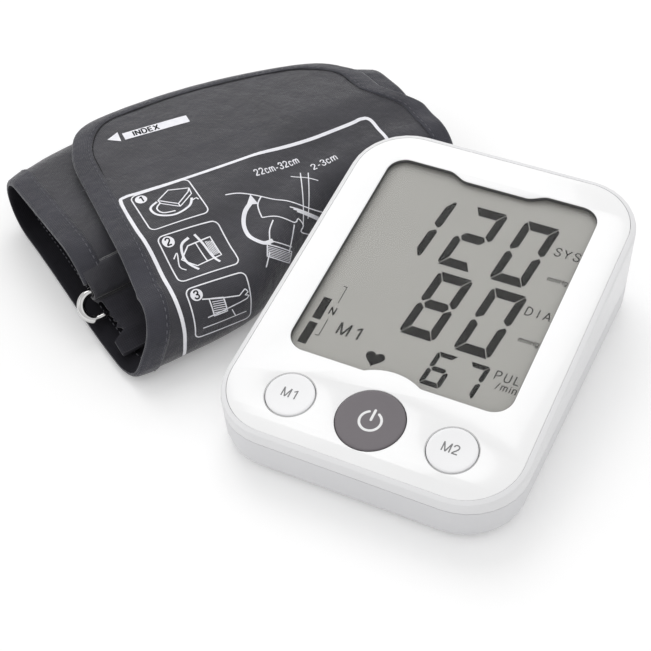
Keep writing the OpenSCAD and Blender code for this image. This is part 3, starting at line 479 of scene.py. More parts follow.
def on_face(u=0.0, v=0.0, w=0.0):
    """The place u to the right, v up the sloping face and w out of it, in mm."""
    return (Matrix.Translation((0, 0, FACE_H * MM)) @ Matrix.Rotation(FACE_TILT, 4, "X")
            @ Matrix.Translation((u * MM, v * MM, w * MM)))


# %% [markdown]
# Flat things, such as the faceplate, the display's segments and lettering, are
# drawn as a flat filled curve. The curve's own extrusion and bevel give it its
# thickness and its softened edge. It is drawn in millimetres, where the filling
# is most exact, and made a mesh before it is scaled and put in place.


# %% Flat plates and lettering
def curve_to_bmesh(data, place):
    """The finished mesh of a curve, moved into place."""
    holder = bpy.data.objects.new("holder", data)
    bpy.context.scene.collection.objects.link(holder)
    graph = bpy.context.evaluated_depsgraph_get()
    graph.update()
    mesh = bpy.data.meshes.new_from_object(holder.evaluated_get(graph))
    bm = bmesh.new()
    bm.from_mesh(mesh)
    bpy.data.objects.remove(holder)
    bpy.data.meshes.remove(mesh)
    bmesh.ops.remove_doubles(bm, verts=bm.verts, dist=1e-4)
    bmesh.ops.transform(bm, matrix=place @ Matrix.Scale(MM, 4), verts=bm.verts)
    return bm


def plate(loops, thickness, place, edge=0.0, steps=2):
    """A flat plate from closed outlines in mm: its top is at the place."""
    data = bpy.data.curves.new("outline", "CURVE")
    data.dimensions = "2D"
    data.fill_mode = "BOTH"
    data.extrude = thickness / 2 - edge
    data.bevel_depth = edge
    data.bevel_resolution = steps
    data.offset = -edge
    for loop in loops:
        line = data.splines.new("POLY")
        line.points.add(len(loop) - 1)
        line.use_cyclic_u = True
        for point, (x, y) in zip(line.points, loop):
            point.co = (x, y, 0.0, 1.0)
    return curve_to_bmesh(data, place @ Matrix.Translation((0, 0, -thickness / 2 * MM)))


def join(parts):
    """Several bmeshes as one."""
    whole = bmesh.new()
    for part in parts:
        mesh = bpy.data.meshes.new("part")
        part.to_mesh(mesh)
        part.free()
        whole.from_mesh(mesh)
        bpy.data.meshes.remove(mesh)
    return whole


def arc(x, y, r, start, end, steps):
    """Points of an arc, angles in degrees."""
    turn = [math.radians(start + (end - start) * i / steps) for i in range(steps + 1)]
    return [(x + r * math.cos(a), y + r * math.sin(a)) for a in turn]


def rounded_loop(w, l, r, x=0.0, y=0.0, steps=14):
    """Outline of a rounded rectangle about x, y."""
    points = []
    for k, (sx, sy) in enumerate(((1, 1), (-1, 1), (-1, -1), (1, -1))):
        points += arc(x + sx * (w / 2 - r), y + sy * (l / 2 - r), r, 90 * k, 90 * k + 90, steps)
    return points


# %% [markdown]
# The lettering is plain and even, as on any instrument, so each letter is drawn
# from a few strokes of one width: straight ones, and ones bent through points.
# Every stroke is a small flat plate. Five slightly different heights take turns,
# so strokes that cross share no plane.

# %% Stroke letters
CURVED = {
    "S": [[(0.58, 0.77), (0.5, 0.94), (0.31, 1.0), (0.12, 0.92), (0.09, 0.73), (0.24, 0.57),
           (0.45, 0.48), (0.6, 0.3), (0.54, 0.08), (0.32, 0.0), (0.12, 0.06), (0.04, 0.26)]],
    "D": [[(0.07, 1.0), (0.3, 0.99), (0.54, 0.88), (0.64, 0.64), (0.64, 0.36), (0.54, 0.12),
           (0.3, 0.01), (0.07, 0.0)]],
    "P": [[(0.07, 1.0), (0.36, 1.0), (0.56, 0.9), (0.58, 0.66), (0.44, 0.5), (0.3, 0.47), (0.07, 0.47)]],
    "U": [[(0.07, 1.0), (0.07, 0.3), (0.16, 0.07), (0.35, 0.0), (0.54, 0.07), (0.63, 0.3), (0.63, 1.0)]],
    "2": [[(0.06, 0.74), (0.1, 0.9), (0.3, 1.0), (0.52, 0.88), (0.54, 0.68), (0.4, 0.45),
           (0.16, 0.2), (0.05, 0.03)]],
    "3": [[(0.06, 0.78), (0.14, 0.94), (0.32, 1.0), (0.52, 0.9), (0.53, 0.66), (0.36, 0.54), (0.24, 0.53)],
          [(0.24, 0.53), (0.42, 0.5), (0.56, 0.36), (0.54, 0.13), (0.32, 0.0), (0.12, 0.07), (0.04, 0.25)]],
    "m": [[(0.06, 0.45), (0.14, 0.66), (0.27, 0.72), (0.39, 0.64), (0.42, 0.48), (0.42, 0.0)],
          [(0.42, 0.45), (0.5, 0.66), (0.62, 0.72), (0.74, 0.64), (0.78, 0.48), (0.78, 0.0)]],
    "n": [[(0.06, 0.45), (0.14, 0.66), (0.28, 0.72), (0.43, 0.64), (0.47, 0.48), (0.47, 0.0)]],
    "g": [[(0.48, 0.36), (0.42, 0.64), (0.27, 0.72), (0.12, 0.66), (0.05, 0.4), (0.1, 0.12),
           (0.26, 0.03), (0.42, 0.12), (0.48, 0.36)],
          [(0.48, 0.72), (0.48, 0.0), (0.42, -0.2), (0.26, -0.26), (0.08, -0.18)]],
    "c": [[(0.46, 0.52), (0.4, 0.66), (0.26, 0.72), (0.12, 0.66), (0.05, 0.37), (0.12, 0.07),
           (0.26, 0.0), (0.4, 0.06), (0.47, 0.22)]],
}
BARRED = {
    "M": [[(0.07, 0.0), (0.07, 1.0)], [(0.07, 1.0), (0.44, 0.0)], [(0.44, 0.0), (0.81, 1.0)],
          [(0.81, 1.0), (0.81, 0.0)]],
    "1": [[(0.4, 0.0), (0.4, 1.0)], [(0.4, 0.97), (0.12, 0.76)]],
    "2": [[(0.02, 0.04), (0.58, 0.04)]],
    "Y": [[(0.0, 1.0), (0.33, 0.46)], [(0.66, 1.0), (0.33, 0.46)], [(0.33, 0.5), (0.33, 0.0)]],
    "D": [[(0.07, 0.0), (0.07, 1.0)]],
    "I": [[(0.1, 0.0), (0.1, 1.0)]],
    "A": [[(0.02, 0.0), (0.35, 1.0)], [(0.68, 0.0), (0.35, 1.0)], [(0.13, 0.33), (0.57, 0.33)]],
    "P": [[(0.07, 0.0), (0.07, 1.0)]],
    "L": [[(0.07, 1.0), (0.07, 0.0)], [(0.02, 0.04), (0.52, 0.04)]],
    "N": [[(0.07, 0.0), (0.07, 1.0)], [(0.07, 1.0), (0.62, 0.0)], [(0.62, 0.0), (0.62, 1.0)]],
    "E": [[(0.07, 0.0), (0.07, 1.0)], [(0.07, 0.96), (0.56, 0.96)], [(0.07, 0.52), (0.52, 0.52)],
          [(0.07, 0.04), (0.57, 0.04)]],
    "X": [[(0.02, 0.0), (0.62, 1.0)], [(0.62, 0.0), (0.02, 1.0)]],
    "H": [[(0.07, 0.0), (0.07, 1.0)], [(0.63, 0.0), (0.63, 1.0)], [(0.07, 0.52), (0.63, 0.52)]],
    "m": [[(0.06, 0.0), (0.06, 0.74)]],
    "n": [[(0.06, 0.0), (0.06, 0.74)]],
    "i": [[(0.1, 0.0), (0.1, 0.72)], [(0.1, 0.88), (0.1, 1.0)]],
    "/": [[(0.0, 0.0), (0.3, 1.0)]],
    "-": [[(0.05, 0.36), (0.35, 0.36)]],
}


def smooth_line(points, pitch=1.0):
    """A smooth line through the points, with a point about every pitch."""
    n = len(points)
    line = []
    for i in range(n - 1):
        p0, p1, p2, p3 = points[max(i - 1, 0)], points[i], points[i + 1], points[min(i + 2, n - 1)]
        steps = max(1, round(math.dist(p1, p2) / pitch))
        for k in range(steps):
            u = k / steps
            line.append(tuple(
                0.5 * (2 * b + (c - a) * u + (2 * a - 5 * b + 4 * c - d) * u * u
                       + (3 * b - a - 3 * c + d) * u ** 3)
                for a, b, c, d in zip(p0, p1, p2, p3)))
    return line + [points[-1]]


def straight_line(points, closed=False, pitch=1.0):
    """A line straight from point to point, with a point about every pitch."""
    line = []
    for p, q in zip(points, points[1:] + points[:1] if closed else points[1:]):
        steps = max(1, round(math.dist(p, q) / pitch))
        line += [(mix(p[0], q[0], k / steps), mix(p[1], q[1], k / steps)) for k in range(steps)]
    return line if closed else line + [points[-1]]


def stroke_loop(line, width):
    """Outline of a stroke: the line's two sides, width apart."""
    left, right = [], []
    for i, (x, y) in enumerate(line):
        (ax, ay), (bx, by) = line[max(i - 1, 0)], line[min(i + 1, len(line) - 1)]
        length = math.hypot(bx - ax, by - ay)
        nx, ny = (ay - by) / length * width / 2, (bx - ax) / length * width / 2
        left.append((x + nx, y + ny))
        right.append((x - nx, y - ny))
    return left + right[::-1]


# The two gaps are shares of a letter's height, and the lift is in mm.
SIDE_GAP, LETTER_GAP, STROKE_LIFT = 0.07, 0.16, 0.003


def lettering(text, height, thickness, place, width=None, weight=0.135, lean=0.0):
    """Stroke letters centred on the place; width, in mm, sets their spacing."""
    widths = []
    for letter in text:
        points = [p for line in CURVED.get(letter, []) + BARRED.get(letter, []) for p in line]
        widths.append(max(x for x, _ in points) + SIDE_GAP)
    spare = (width / height - sum(widths)) if width else LETTER_GAP * (len(text) - 1)
    x0 = -(sum(widths) + spare) / 2
    plates = []
    for letter, wide in zip(text, widths):
        drawn = [smooth_line(line, pitch=0.07) for line in CURVED.get(letter, [])] + BARRED.get(letter, [])
        for line in drawn:
            line = [((x0 + x + (y - 0.5) * lean) * height, (y - 0.5) * height) for x, y in line]
            lifted = place @ Matrix.Translation((0, 0, STROKE_LIFT * (len(plates) % 5) * MM))
            plates.append(plate([stroke_loop(line, weight * height)], thickness, lifted))
        x0 += wide + spare / max(1, len(text) - 1)
    return join(plates)


print("letters:", len(set(CURVED) | set(BARRED)))

# %% [markdown]
# ## The faceplate
# A glossy white sheet is laid into the cover and leaves a thin shadow line all
# round. Its window has a tab that dips in at the top, and an arc at the bottom
# that makes room for the power key.

# %% Faceplate
BODY_W, BODY_L, CORNER_R, RIM_BAND = 104.5, 138.0, 21.0, 2.1
WINDOW_W, WINDOW_L, WINDOW_V, WINDOW_R = 77.6, 89.6, 11.1, 6.8
TAB_U, TAB_W, TAB_DEPTH, TAB_SLOPE = 1.2, 37.0, 2.8, 7.5
POWER_V, MEMORY_U, MEMORY_V = -50.3, 27.8, -50.9
POWER_D, MEMORY_D, KEY_GAP, BUMP_R = 22.4, 16.1, 0.25, 19.3
PLATE_T = 1.5


def smooth_steps(a, b, steps):
    """Points from a to b along an S curve, for the sides of the tab."""
    return [(a[0] + (b[0] - a[0]) * t, a[1] + (b[1] - a[1]) * t * t * (3 - 2 * t))
            for t in (i / steps for i in range(steps + 1))]


def window_loop(grow=0.0):
    """Outline of the display window, larger all round by grow."""
    w, l, r = WINDOW_W / 2 + grow, WINDOW_L / 2 + grow, WINDOW_R + grow
    top, low = WINDOW_V + l, WINDOW_V - l
    bump_r = BUMP_R - grow
    points = arc(w - r, top - r, r, 0, 90, 12)
    right, left = TAB_U + TAB_W / 2, TAB_U - TAB_W / 2
    points += smooth_steps((right, top), (right - TAB_SLOPE, top - TAB_DEPTH), 8)
    points += smooth_steps((left + TAB_SLOPE, top - TAB_DEPTH), (left, top), 8)
    points += arc(r - w, top - r, r, 90, 180, 12)
    points += arc(r - w, low + r, r, 180, 270, 12)
    rise = math.degrees(math.asin((low - POWER_V) / bump_r))
    points += arc(0.0, POWER_V, bump_r, 180 - rise, rise, 18)
    points += arc(w - r, low + r, r, 270, 360, 12)
    return points


def circle_loop(x, y, r, steps=72):
    """Outline of a circle."""
    return arc(x, y, r, 0, 360 - 360 / steps, steps - 1)


plate_outline = rounded_loop(BODY_W - 2 * RIM_BAND, BODY_L - 2 * RIM_BAND, CORNER_R - RIM_BAND, steps=24)
key_holes = [circle_loop(u, v, d / 2 + KEY_GAP) for u, v, d in
             ((-MEMORY_U, MEMORY_V, MEMORY_D), (0.0, POWER_V, POWER_D), (MEMORY_U, MEMORY_V, MEMORY_D))]
bm = plate([plate_outline, window_loop(), *key_holes], PLATE_T, on_face(), edge=0.18)
faceplate = make_piece("white_faceplate", bm, FINISH["faceplate"], "monitor",
                       replaces=["faceplate"])
print("faceplate faces:", len(faceplate.data.polygons))

# %% [markdown]
# A dark grey lip lines the window. It hides the cut edge of the white sheet and
# makes the dark line that frames the display. Its dark grey is partly painted
# shade: it makes the window's inner edge darker than its own shading would.

# %% Window lip
# Partly painted shade: the lip is near black, so the window's edge reads as shaded.
lip_grey_painted_shade = moulded("lip_grey_painted_shade", (0.09, 0.09, 0.092), 0.5)
bm = plate([window_loop(0.02), window_loop(-0.12)], 1.3, on_face(w=-0.2), edge=0.04, steps=1)
make_piece("window_lip", bm, lip_grey_painted_shade, "monitor")

# %% [markdown]
# ## The display's figures
# A liquid crystal figure is seven bars that lean a little to the right. The
# bars are cut by slanting gaps where they meet. Every bar is one small outline,
# and a figure is the outlines that are switched on.


# %% Seven-bar figures
LEAN = 0.105
BARS_ON = {"0": "abcdef", "1": "bc", "2": "abged", "6": "acdefg", "7": "abc", "8": "abcdefg"}


def bar_loops(figure, x, y, w, h, tv, th, gap):
    """Outlines of the bars of one figure centred on x, y."""
    r, t = w / 2, h / 2
    g = gap / 2
    shapes = {
        "a": [(-r + g * 3, t), (r - g * 3, t), (r - tv - g, t - th), (-r + tv + g, t - th)],
        "b": [(r - g, t - g * 4), (r, t - g * 8), (r, g * 6), (r - tv * 0.35, g * 1.6),
              (r - tv, g * 1.6 + th * 0.45), (r - tv, t - th - g), (r - g * 4, t - g * 3)],
        "g": [(-r + tv * 0.5 + g * 2, 0), (-r + tv + g, th / 2), (r - tv - g, th / 2),
              (r - tv * 0.5 - g * 2, 0), (r - tv - g, -th / 2), (-r + tv + g, -th / 2)],
    }
    shapes["d"] = [(px, -py) for px, py in shapes["a"]]
    shapes["c"] = [(px, -py) for px, py in shapes["b"]]
    shapes["f"] = [(-px, py) for px, py in shapes["b"]]
    shapes["e"] = [(-px, -py) for px, py in shapes["b"]]
    return [[(x + px + py * LEAN, y + py) for px, py in shapes[bar]] for bar in BARS_ON[figure]]


def heart_loop(x, y, size):
    """A heart about x, y."""
    points = []
    for i in range(40):
        a = 2 * math.pi * i / 40
        px = 16 * math.sin(a) ** 3
        py = 13 * math.cos(a) - 5 * math.cos(2 * a) - 2 * math.cos(3 * a) - math.cos(4 * a)
        points.append((x + px * size / 32, y + (py + 2.5) * size / 32))
    return points


LCD_TOP = -2.1
INK_W, INK_T = LCD_TOP + 0.03, 0.02
figures = []
for figure, x, y in (("1", -17.35, 31.0), ("2", 1.4, 31.0), ("0", 20.25, 31.0),
                     ("8", 1.05, -0.1), ("0", 20.2, -0.1)):
    figures += bar_loops(figure, x, y, 12.6, 28.3, 2.9, 3.75, 0.5)
for figure, x, y in (("6", 11.75, -23.6), ("7", 22.75, -23.6)):
    figures += bar_loops(figure, x, y, 7.3, 13.75, 1.65, 1.85, 0.3)
level_bars = [[(-35.6, -9.9), (-32.6, -9.9), (-32.7, -19.2), (-35.75, -19.2)],
              [(-35.75, -20.8), (-32.7, -20.8), (-32.9, -29.9), (-36.0, -29.9)]]
figures += level_bars
figures.append(heart_loop(-9.3, -27.5, 6.6))
ink, tree, shader = new_finish("display_ink", (0.014, 0.0135, 0.0125), 0.8, Specular_IOR_Level=0.1)
tone = use(tree, MOTTLE, Size=0.006, Light=(0.017, 0.0165, 0.0155, 1.0), Dark=(0.012, 0.0115, 0.011, 1.0))
tree.links.new(tone.outputs["Color"], shader.inputs["Base Color"])
bm = plate(figures, INK_T, on_face(w=INK_W))
make_piece("display_figures", bm, ink, "monitor", smooth=False)

# %% [markdown]
# The small words beside the figures are printed on the glass in a lighter grey:
# what each row measures, its unit, the memory in use, and the bracket with its
# mark beside the level bars.

# %% Display words
words = []
for text, u, v, size, width, weight in (
        ("SYS", 33.7, 35.6, 3.5, 9.0, 0.13), ("DIA", 33.4, 8.7, 3.4, 8.9, 0.13),
        ("PUL", 33.3, -18.7, 3.3, 8.5, 0.13), ("mmHg", 34.4, 23.9, 2.0, 6.9, 0.16),
        ("mmHg", 34.4, -2.9, 2.0, 6.9, 0.16), ("/min", 34.4, -22.5, 2.6, 6.8, 0.14),
        ("M1", -21.6, -19.9, 4.9, 8.1, 0.145), ("N", -30.3, -14.4, 3.1, None, 0.17)):
    words.append(lettering(text, size, INK_T, on_face(u, v, INK_W), width, weight, 0.03))
brackets = [[(-31.3, -3.4), (-29.9, -3.4), (-29.9, -10.8), (-30.2, -10.8), (-30.2, -3.7), (-31.3, -3.7)],
            [(-30.5, -18.0), (-30.2, -18.0), (-30.2, -25.4), (-31.8, -25.4), (-31.8, -25.1), (-30.5, -25.1)]]
words.append(plate(brackets, INK_T, on_face(w=INK_W)))
word_ink, tree, shader = new_finish("display_word_ink", (0.045, 0.044, 0.042), 0.8, Specular_IOR_Level=0.1)
tone = use(tree, MOTTLE, Size=0.004, Light=(0.055, 0.055, 0.052, 1.0), Dark=(0.035, 0.035, 0.033, 1.0))
tree.links.new(tone.outputs["Color"], shader.inputs["Base Color"])
make_piece("display_words", join(words), word_ink, "monitor", smooth=False)
print("display words:", len(words))

# %% [markdown]
# ## The keys
# Each key is turned: a half profile is spun about the key's own axis. The rim is
# rounded in four steps and the top dishes in by 0.16 mm, which is enough to
# catch the light.


# %% Spun keys
KEY_PROUD, KEY_DISH = 0.3, 0.16
FLANGE_W, FLANGE_T, STEM_R, STEM_END = 1.2, 0.8, 2.1, -5.0


def key_bmesh(u, v, d):
    """A round key with its flange, spun about its axis."""
    r, top, flange = d / 2, KEY_PROUD, -3.75
    profile = [(0.0, top - KEY_DISH), (r * 0.35, top - 0.15), (r * 0.7, top - 0.08), (r - 1.0, top)]
    profile += [(r - 0.4 + 0.4 * math.sin(a), top - 0.4 + 0.4 * math.cos(a))
                for a in (math.radians(t) for t in (0, 22, 45, 67, 90))]
    profile += [(r, flange), (r + FLANGE_W, flange), (r + FLANGE_W, flange - FLANGE_T)]
    profile += [(STEM_R, flange - FLANGE_T), (STEM_R, STEM_END), (0.0, STEM_END)]
    bm = bmesh.new()
    verts = [bm.verts.new((x * MM, 0.0, z * MM)) for x, z in profile]
    edges = [bm.edges.new(pair) for pair in zip(verts, verts[1:])]
    bmesh.ops.spin(bm, geom=verts + edges, cent=(0, 0, 0), axis=(0, 0, 1), dvec=(0, 0, 0),
                   angle=2 * math.pi, steps=96, use_merge=True, use_duplicate=False)
    bmesh.ops.remove_doubles(bm, verts=bm.verts, dist=1e-7)
    bmesh.ops.recalc_face_normals(bm, faces=bm.faces)
    bmesh.ops.transform(bm, matrix=on_face(u, v), verts=bm.verts)
    return bm


def sharpen(piece, angle=35.0):
    """Marks real corners, so that smooth shading stops there."""
    bm = bmesh.new()
    bm.from_mesh(piece.data)
    for edge in bm.edges:
        edge.smooth = len(edge.link_faces) < 2 or edge.calc_face_angle(0.0) < math.radians(angle)
    bm.to_mesh(piece.data)
    bm.free()


for name, u, v, d, body, slot, node in (
        ("memory_key_1", -MEMORY_U, MEMORY_V, MEMORY_D, "memory_1_key", "memory_key", "memory_1_button"),
        ("memory_key_2", MEMORY_U, MEMORY_V, MEMORY_D, "memory_2_key", "memory_key", "memory_2_button"),
        ("round_power_key", 0.0, POWER_V, POWER_D, "power_key", "power_key", "power_button")):
    sharpen(make_piece(name, key_bmesh(u, v, d), FINISH[slot], body, replaces=[node]))

# %% [markdown]
# The memory keys carry plain grey lettering, and the power key the usual sign:
# an open ring with a bar. A thin grey line rings each memory key on the sheet.

# %% Key marks
MARK_W, MARK_T = KEY_PROUD - 0.1, 0.03
RING_OUTER, RING_INNER, RING_W = 8.62, 8.36, 0.012
key_grey, tree, shader = new_finish("key_print_grey", (0.2, 0.2, 0.205), 0.5)
tone = use(tree, MOTTLE, Size=0.003, Light=(0.23, 0.23, 0.235, 1.0), Dark=(0.17, 0.17, 0.175, 1.0))
tree.links.new(tone.outputs["Color"], shader.inputs["Base Color"])
key_white, tree, shader = new_finish("key_print_white", (0.86, 0.86, 0.86), 0.45)
tone = use(tree, MOTTLE, Size=0.003, Light=(0.9, 0.9, 0.9, 1.0), Dark=(0.82, 0.82, 0.82, 1.0))
tree.links.new(tone.outputs["Color"], shader.inputs["Base Color"])
for name, text, u, body in (("memory_mark_1", "M1", -28.2, "memory_1_key"),
                            ("memory_mark_2", "M2", 27.2, "memory_2_key")):
    bm = lettering(text, 3.35, MARK_T, on_face(u, -50.5, MARK_W), weight=0.12)
    make_piece(name, bm, key_grey, body, smooth=False)


def ring_loops(x, y, r, width, start, end, steps=48):
    """Outline of an open ring with rounded ends."""
    a, b = arc(x, y, r + width / 2, start, end, steps), arc(x, y, r - width / 2, end, start, steps)
    ends = []
    for angle, turn in ((end, 0), (start, 180)):
        cx, cy = x + r * math.cos(math.radians(angle)), y + r * math.sin(math.radians(angle))
        ends.append(arc(cx, cy, width / 2, angle + turn, angle + turn + 180, 8)[1:-1])
    return a + ends[0] + b + ends[1]


power_sign = [ring_loops(0.15, -50.6, 3.55, 0.85, 118, 422),
              rounded_loop(0.85, 4.6, 0.42, 0.15, -48.3, steps=5)]
bm = plate(power_sign, MARK_T, on_face(w=MARK_W))
make_piece("power_sign", bm, key_white, "power_key", smooth=False)
key_rings = []
for u in (-MEMORY_U, MEMORY_U):
    two_circles = [circle_loop(u, MEMORY_V, RING_OUTER), circle_loop(u, MEMORY_V, RING_INNER)]
    key_rings.append(plate(two_circles, INK_T, on_face(w=RING_W)))
ring_line, tree, shader = new_finish("ring_print_grey", (0.5, 0.5, 0.5), 0.4)
tone = use(tree, MOTTLE, Size=0.004, Light=(0.56, 0.56, 0.56, 1.0), Dark=(0.46, 0.46, 0.46, 1.0))
tree.links.new(tone.outputs["Color"], shader.inputs["Base Color"])
make_piece("memory_rings", join(key_rings), ring_line, "monitor", smooth=False)
print("key marks done")

# %% [markdown]
# ## The cuff's own frame
# The cuff is one padded sheet, wound once and closed with its flap. A point on
# it has a place s along the roll, and a path value g that runs from the end at
# the steel loop (0) over the inner top, the back fold, the bottom, the front
# fold and the flap to the flap's free edge (7). `sheet_point` turns the two,
# and an offset from the middle of the sheet, into a place in the frame.

# %% Cuff frame
CUFF_AT = Vector((-91.0, -47.0, 0.0))
CUFF_TURN = math.radians(59.8)
CUFF_W, SHEET_T, BINDING_T, BINDING_SKIN, BINDING_W = 150.0, 3.6, 0.45, 0.3, 8.0
ROLL_H = 27.5
BOTTOM_Z = SHEET_T / 2 + BINDING_SKIN + BINDING_T + 0.05
INNER_Z = ROLL_H - SHEET_T / 2
FOLD_R = (INNER_Z - BOTTOM_Z) / 2
FOLD_Z = BOTTOM_Z + FOLD_R
FLAP_R = FOLD_R + SHEET_T + 2 * BINDING_T + 0.9
FLAP_RISE, FLAP_END = 22.0, math.radians(35.0)
DROOP_R, DROOP = 19.0, math.radians(55.0)
LOOP_B, LOOP_YAW, SLEEVE_R = 30.5, math.radians(2.5), 2.9
SQUARE_FOLD, SKEW = 3.6, 3.2
FLAP_S0, FLAP_TAPER, FLAP_S1, CORNER = 9.0, 0.2, CUFF_W - 10.0, 24.0


def mix(a, b, t):
    """From a, at t = 0, to b, at t = 1."""
    return a + (b - a) * t


def ease(a, b, x):
    """0 before a, 1 after b, and a smooth S between."""
    t = max(0.0, min(1.0, (x - a) / (b - a)))
    return t * t * (3 - 2 * t)


def front_b(s):
    """How far forward the roll's front reaches at s."""
    return -6.0 - 1.8 * ease(70, 25, s) + 25.0 * ease(40, 105, s) - 4.0 * ease(118, CUFF_W, s)


def back_b(s):
    """How far back the roll's back fold reaches at s."""
    t = s / CUFF_W
    return mix(99.0, 77.0, t) + 15.0 * 4 * t * (1 - t)


def front_mid(s):
    """Centre of the front fold."""
    return front_b(s) + SHEET_T / 2 + FOLD_R


def back_mid(s):
    """Centre of the back fold."""
    return back_b(s) - SHEET_T / 2 - FOLD_R


def droop_b(s):
    """Where the inner top starts to bend down to the steel loop."""
    return LOOP_B + s * math.tan(LOOP_YAW) + DROOP_R * math.sin(DROOP) + (SLEEVE_R + 0.3) * math.cos(DROOP)


def section(g, s):
    """Middle of the sheet and its outward normal, as (b, z, nb, nz).

    The lower half of the front fold is squarer at the open end of the roll,
    where the sheet's own weight flattens it on the table.
    """
    if g < 1:
        a = DROOP * (1 - g)
        b, z = droop_b(s) - DROOP_R * math.sin(a), INNER_Z - DROOP_R * (1 - math.cos(a))
        return b, z, -math.sin(a), math.cos(a)
    if g < 2:
        return mix(droop_b(s), back_mid(s), g - 1), INNER_Z, 0.0, 1.0
    if g < 3:
        a = math.pi * (g - 2)
        return back_mid(s) + FOLD_R * math.sin(a), FOLD_Z + FOLD_R * math.cos(a), math.sin(a), math.cos(a)
    if g < 4:
        return mix(back_mid(s), front_mid(s), g - 3), BOTTOM_Z, 0.0, -1.0
    if g < 5:
        a = math.pi * (g - 4)
        x, y = math.sin(a), abs(math.cos(a))
        n = mix(SQUARE_FOLD, 2.0, ease(35, 80, s)) if g < 4.5 else 2.0
        r = (x ** n + y ** n) ** (-1 / n)
        nx, ny = x ** (n - 1), y ** (n - 1)
        side = math.copysign(1.0, math.cos(a))
        length = math.hypot(nx, ny)
        b, z = front_mid(s) - FOLD_R * r * x, FOLD_Z - FOLD_R * r * y * side
        return b, z, -nx / length, -side * ny / length
    if g < 6:
        b = mix(front_mid(s), back_mid(s), g - 5)
        rise = ease(0, FLAP_RISE, b - front_mid(s))
        return b, mix(INNER_Z, FOLD_Z + FLAP_R, rise), 0.0, 1.0
    a = FLAP_END * (g - 6)
    return back_mid(s) + FLAP_R * math.sin(a), FOLD_Z + FLAP_R * math.cos(a), math.sin(a), math.cos(a)


TURN = Matrix.Rotation(CUFF_TURN, 3, "Z")


def to_frame(s, b, z):
    """A place in the cuff's frame, in mm, as a place in the frame, in metres."""
    return (CUFF_AT + TURN @ Vector((s, b, z))) * MM


def sheet_point(g, s, offset=0.0):
    """A place on the sheet, offset outwards from its middle."""
    b, z, nb, nz = section(g, s)
    return to_frame(s, b + offset * nb, z + offset * nz)


FLAP_FLAT = back_mid(CUFF_W / 2) - front_mid(CUFF_W / 2)
FLAP_END_L = FLAP_R * FLAP_END


def edge_gap(g):
    """Distance from the flap's free edge."""
    return FLAP_END_L + (6 - g) * FLAP_FLAT if g < 6 else FLAP_END_L * (7 - g)


def g_at_gap(d):
    """The path value at a distance from the flap's free edge."""
    return 6 - (d - FLAP_END_L) / FLAP_FLAT if d > FLAP_END_L else 7 - d / FLAP_END_L


def edge_left(g):
    """Where the sheet's left edge runs; it slants over the front fold."""
    if g < 4:
        return -SKEW * ease(2.9, 4, g)
    if g < 5.05:
        return mix(-SKEW, FLAP_S0, ease(4, 5.05, g))
    return FLAP_S0 + FLAP_TAPER * FLAP_FLAT * min(1.0, g - 5)


def edge_right(g):
    """Where the sheet's right edge runs; the flap is a little narrower."""
    return CUFF_W if g < 5 else mix(CUFF_W, FLAP_S1, ease(5.2, 5.6, g))


def corner_in(d):
    """How far the flap's round corners pull the sides in, d from its edge."""
    return 0.0 if d >= CORNER else CORNER - math.sqrt(max(0.0, CORNER ** 2 - (CORNER - d) ** 2))


# Rough lengths of the two flat stretches, which only set how fine the grid is.
TOP_L, BOTTOM_L = 40.0, 62.0


def path_rows(step):
    """Path values about a step apart, closer at the flap's free edge."""
    lengths = [DROOP_R * DROOP, TOP_L, math.pi * FOLD_R, BOTTOM_L, math.pi * FOLD_R, FLAP_FLAT]
    rows = []
    for part, length in enumerate(lengths):
        count = max(4, round(length / step))
        rows += [part + i / count for i in range(count)]
    last = g_at_gap(CORNER)
    rows = [g for g in rows if g < last - 0.01]
    return rows + [g_at_gap(CORNER * (1 - math.sin(math.pi / 2 * i / 16))) for i in range(17)]


ROWS = path_rows(1.8)
COLS = 84
print("cuff grid:", len(ROWS), "x", COLS + 1, "flap length", round(FLAP_FLAT, 1))

# %% [markdown]
# ## The padded sheet
# A grid is laid out and every vertex is sent to its place on the roll, outer
# cloth first and lining second. The two cloths are joined round the edge. They
# stand apart most in the middle, and slow noise leaves them uneven, as a soft
# sheet that has been folded for a while is.


# %% Padded sheet
def grid_bmesh(rows, cols):
    """A flat grid whose vertices can be found by row and column."""
    bm = bmesh.new()
    bmesh.ops.create_grid(bm, x_segments=cols, y_segments=rows, size=0.5)
    bm.verts.ensure_lookup_table()
    order = sorted(bm.verts,
                   key=lambda v: (round((v.co.y + 0.5) * rows), round((v.co.x + 0.5) * cols)))
    return bm, [order[i * (cols + 1):(i + 1) * (cols + 1)] for i in range(rows + 1)]


def crumple(place, size, seed):
    """Smooth noise from -1 to 1 about a place in metres."""
    return noise.noise(Vector(place) / (size * MM) + Vector((seed, seed * 1.7, seed * 2.3)))


def edge_distance(g, s):
    """Distance from the nearest sewn edge of the sheet, in mm."""
    pull = corner_in(edge_gap(g))
    return min(s - edge_left(g) - pull, edge_right(g) - pull - s, edge_gap(g))


def swell(g, s, outer):
    """How far each cloth of the pad stands from the sheet's middle, in mm."""
    edge = edge_distance(g, s)
    place = sheet_point(g, s)
    body = ease(7.0, 20.0, min(edge, g * DROOP_R * DROOP))
    waves = crumple(place, 38, 3.1) * 0.6 + crumple(place, 15, 7.7) * 0.3
    puckers = crumple(place, 5.5, 2.2) * math.exp(-((edge - 9.5) / 3.0) ** 2) * 0.28
    rim = mix(0.75, SHEET_T / 2 - 0.35, ease(-1.0, 7.0, edge))
    height = rim + body * (0.25 + 0.75 * waves) * (1.0 if outer else 0.5) + puckers
    resting = outer * ease(3.0, 3.15, g) * ease(4.1, 3.95, g) * ease(8.5, 12.0, edge)
    return mix(height, BOTTOM_Z - 0.1, resting)


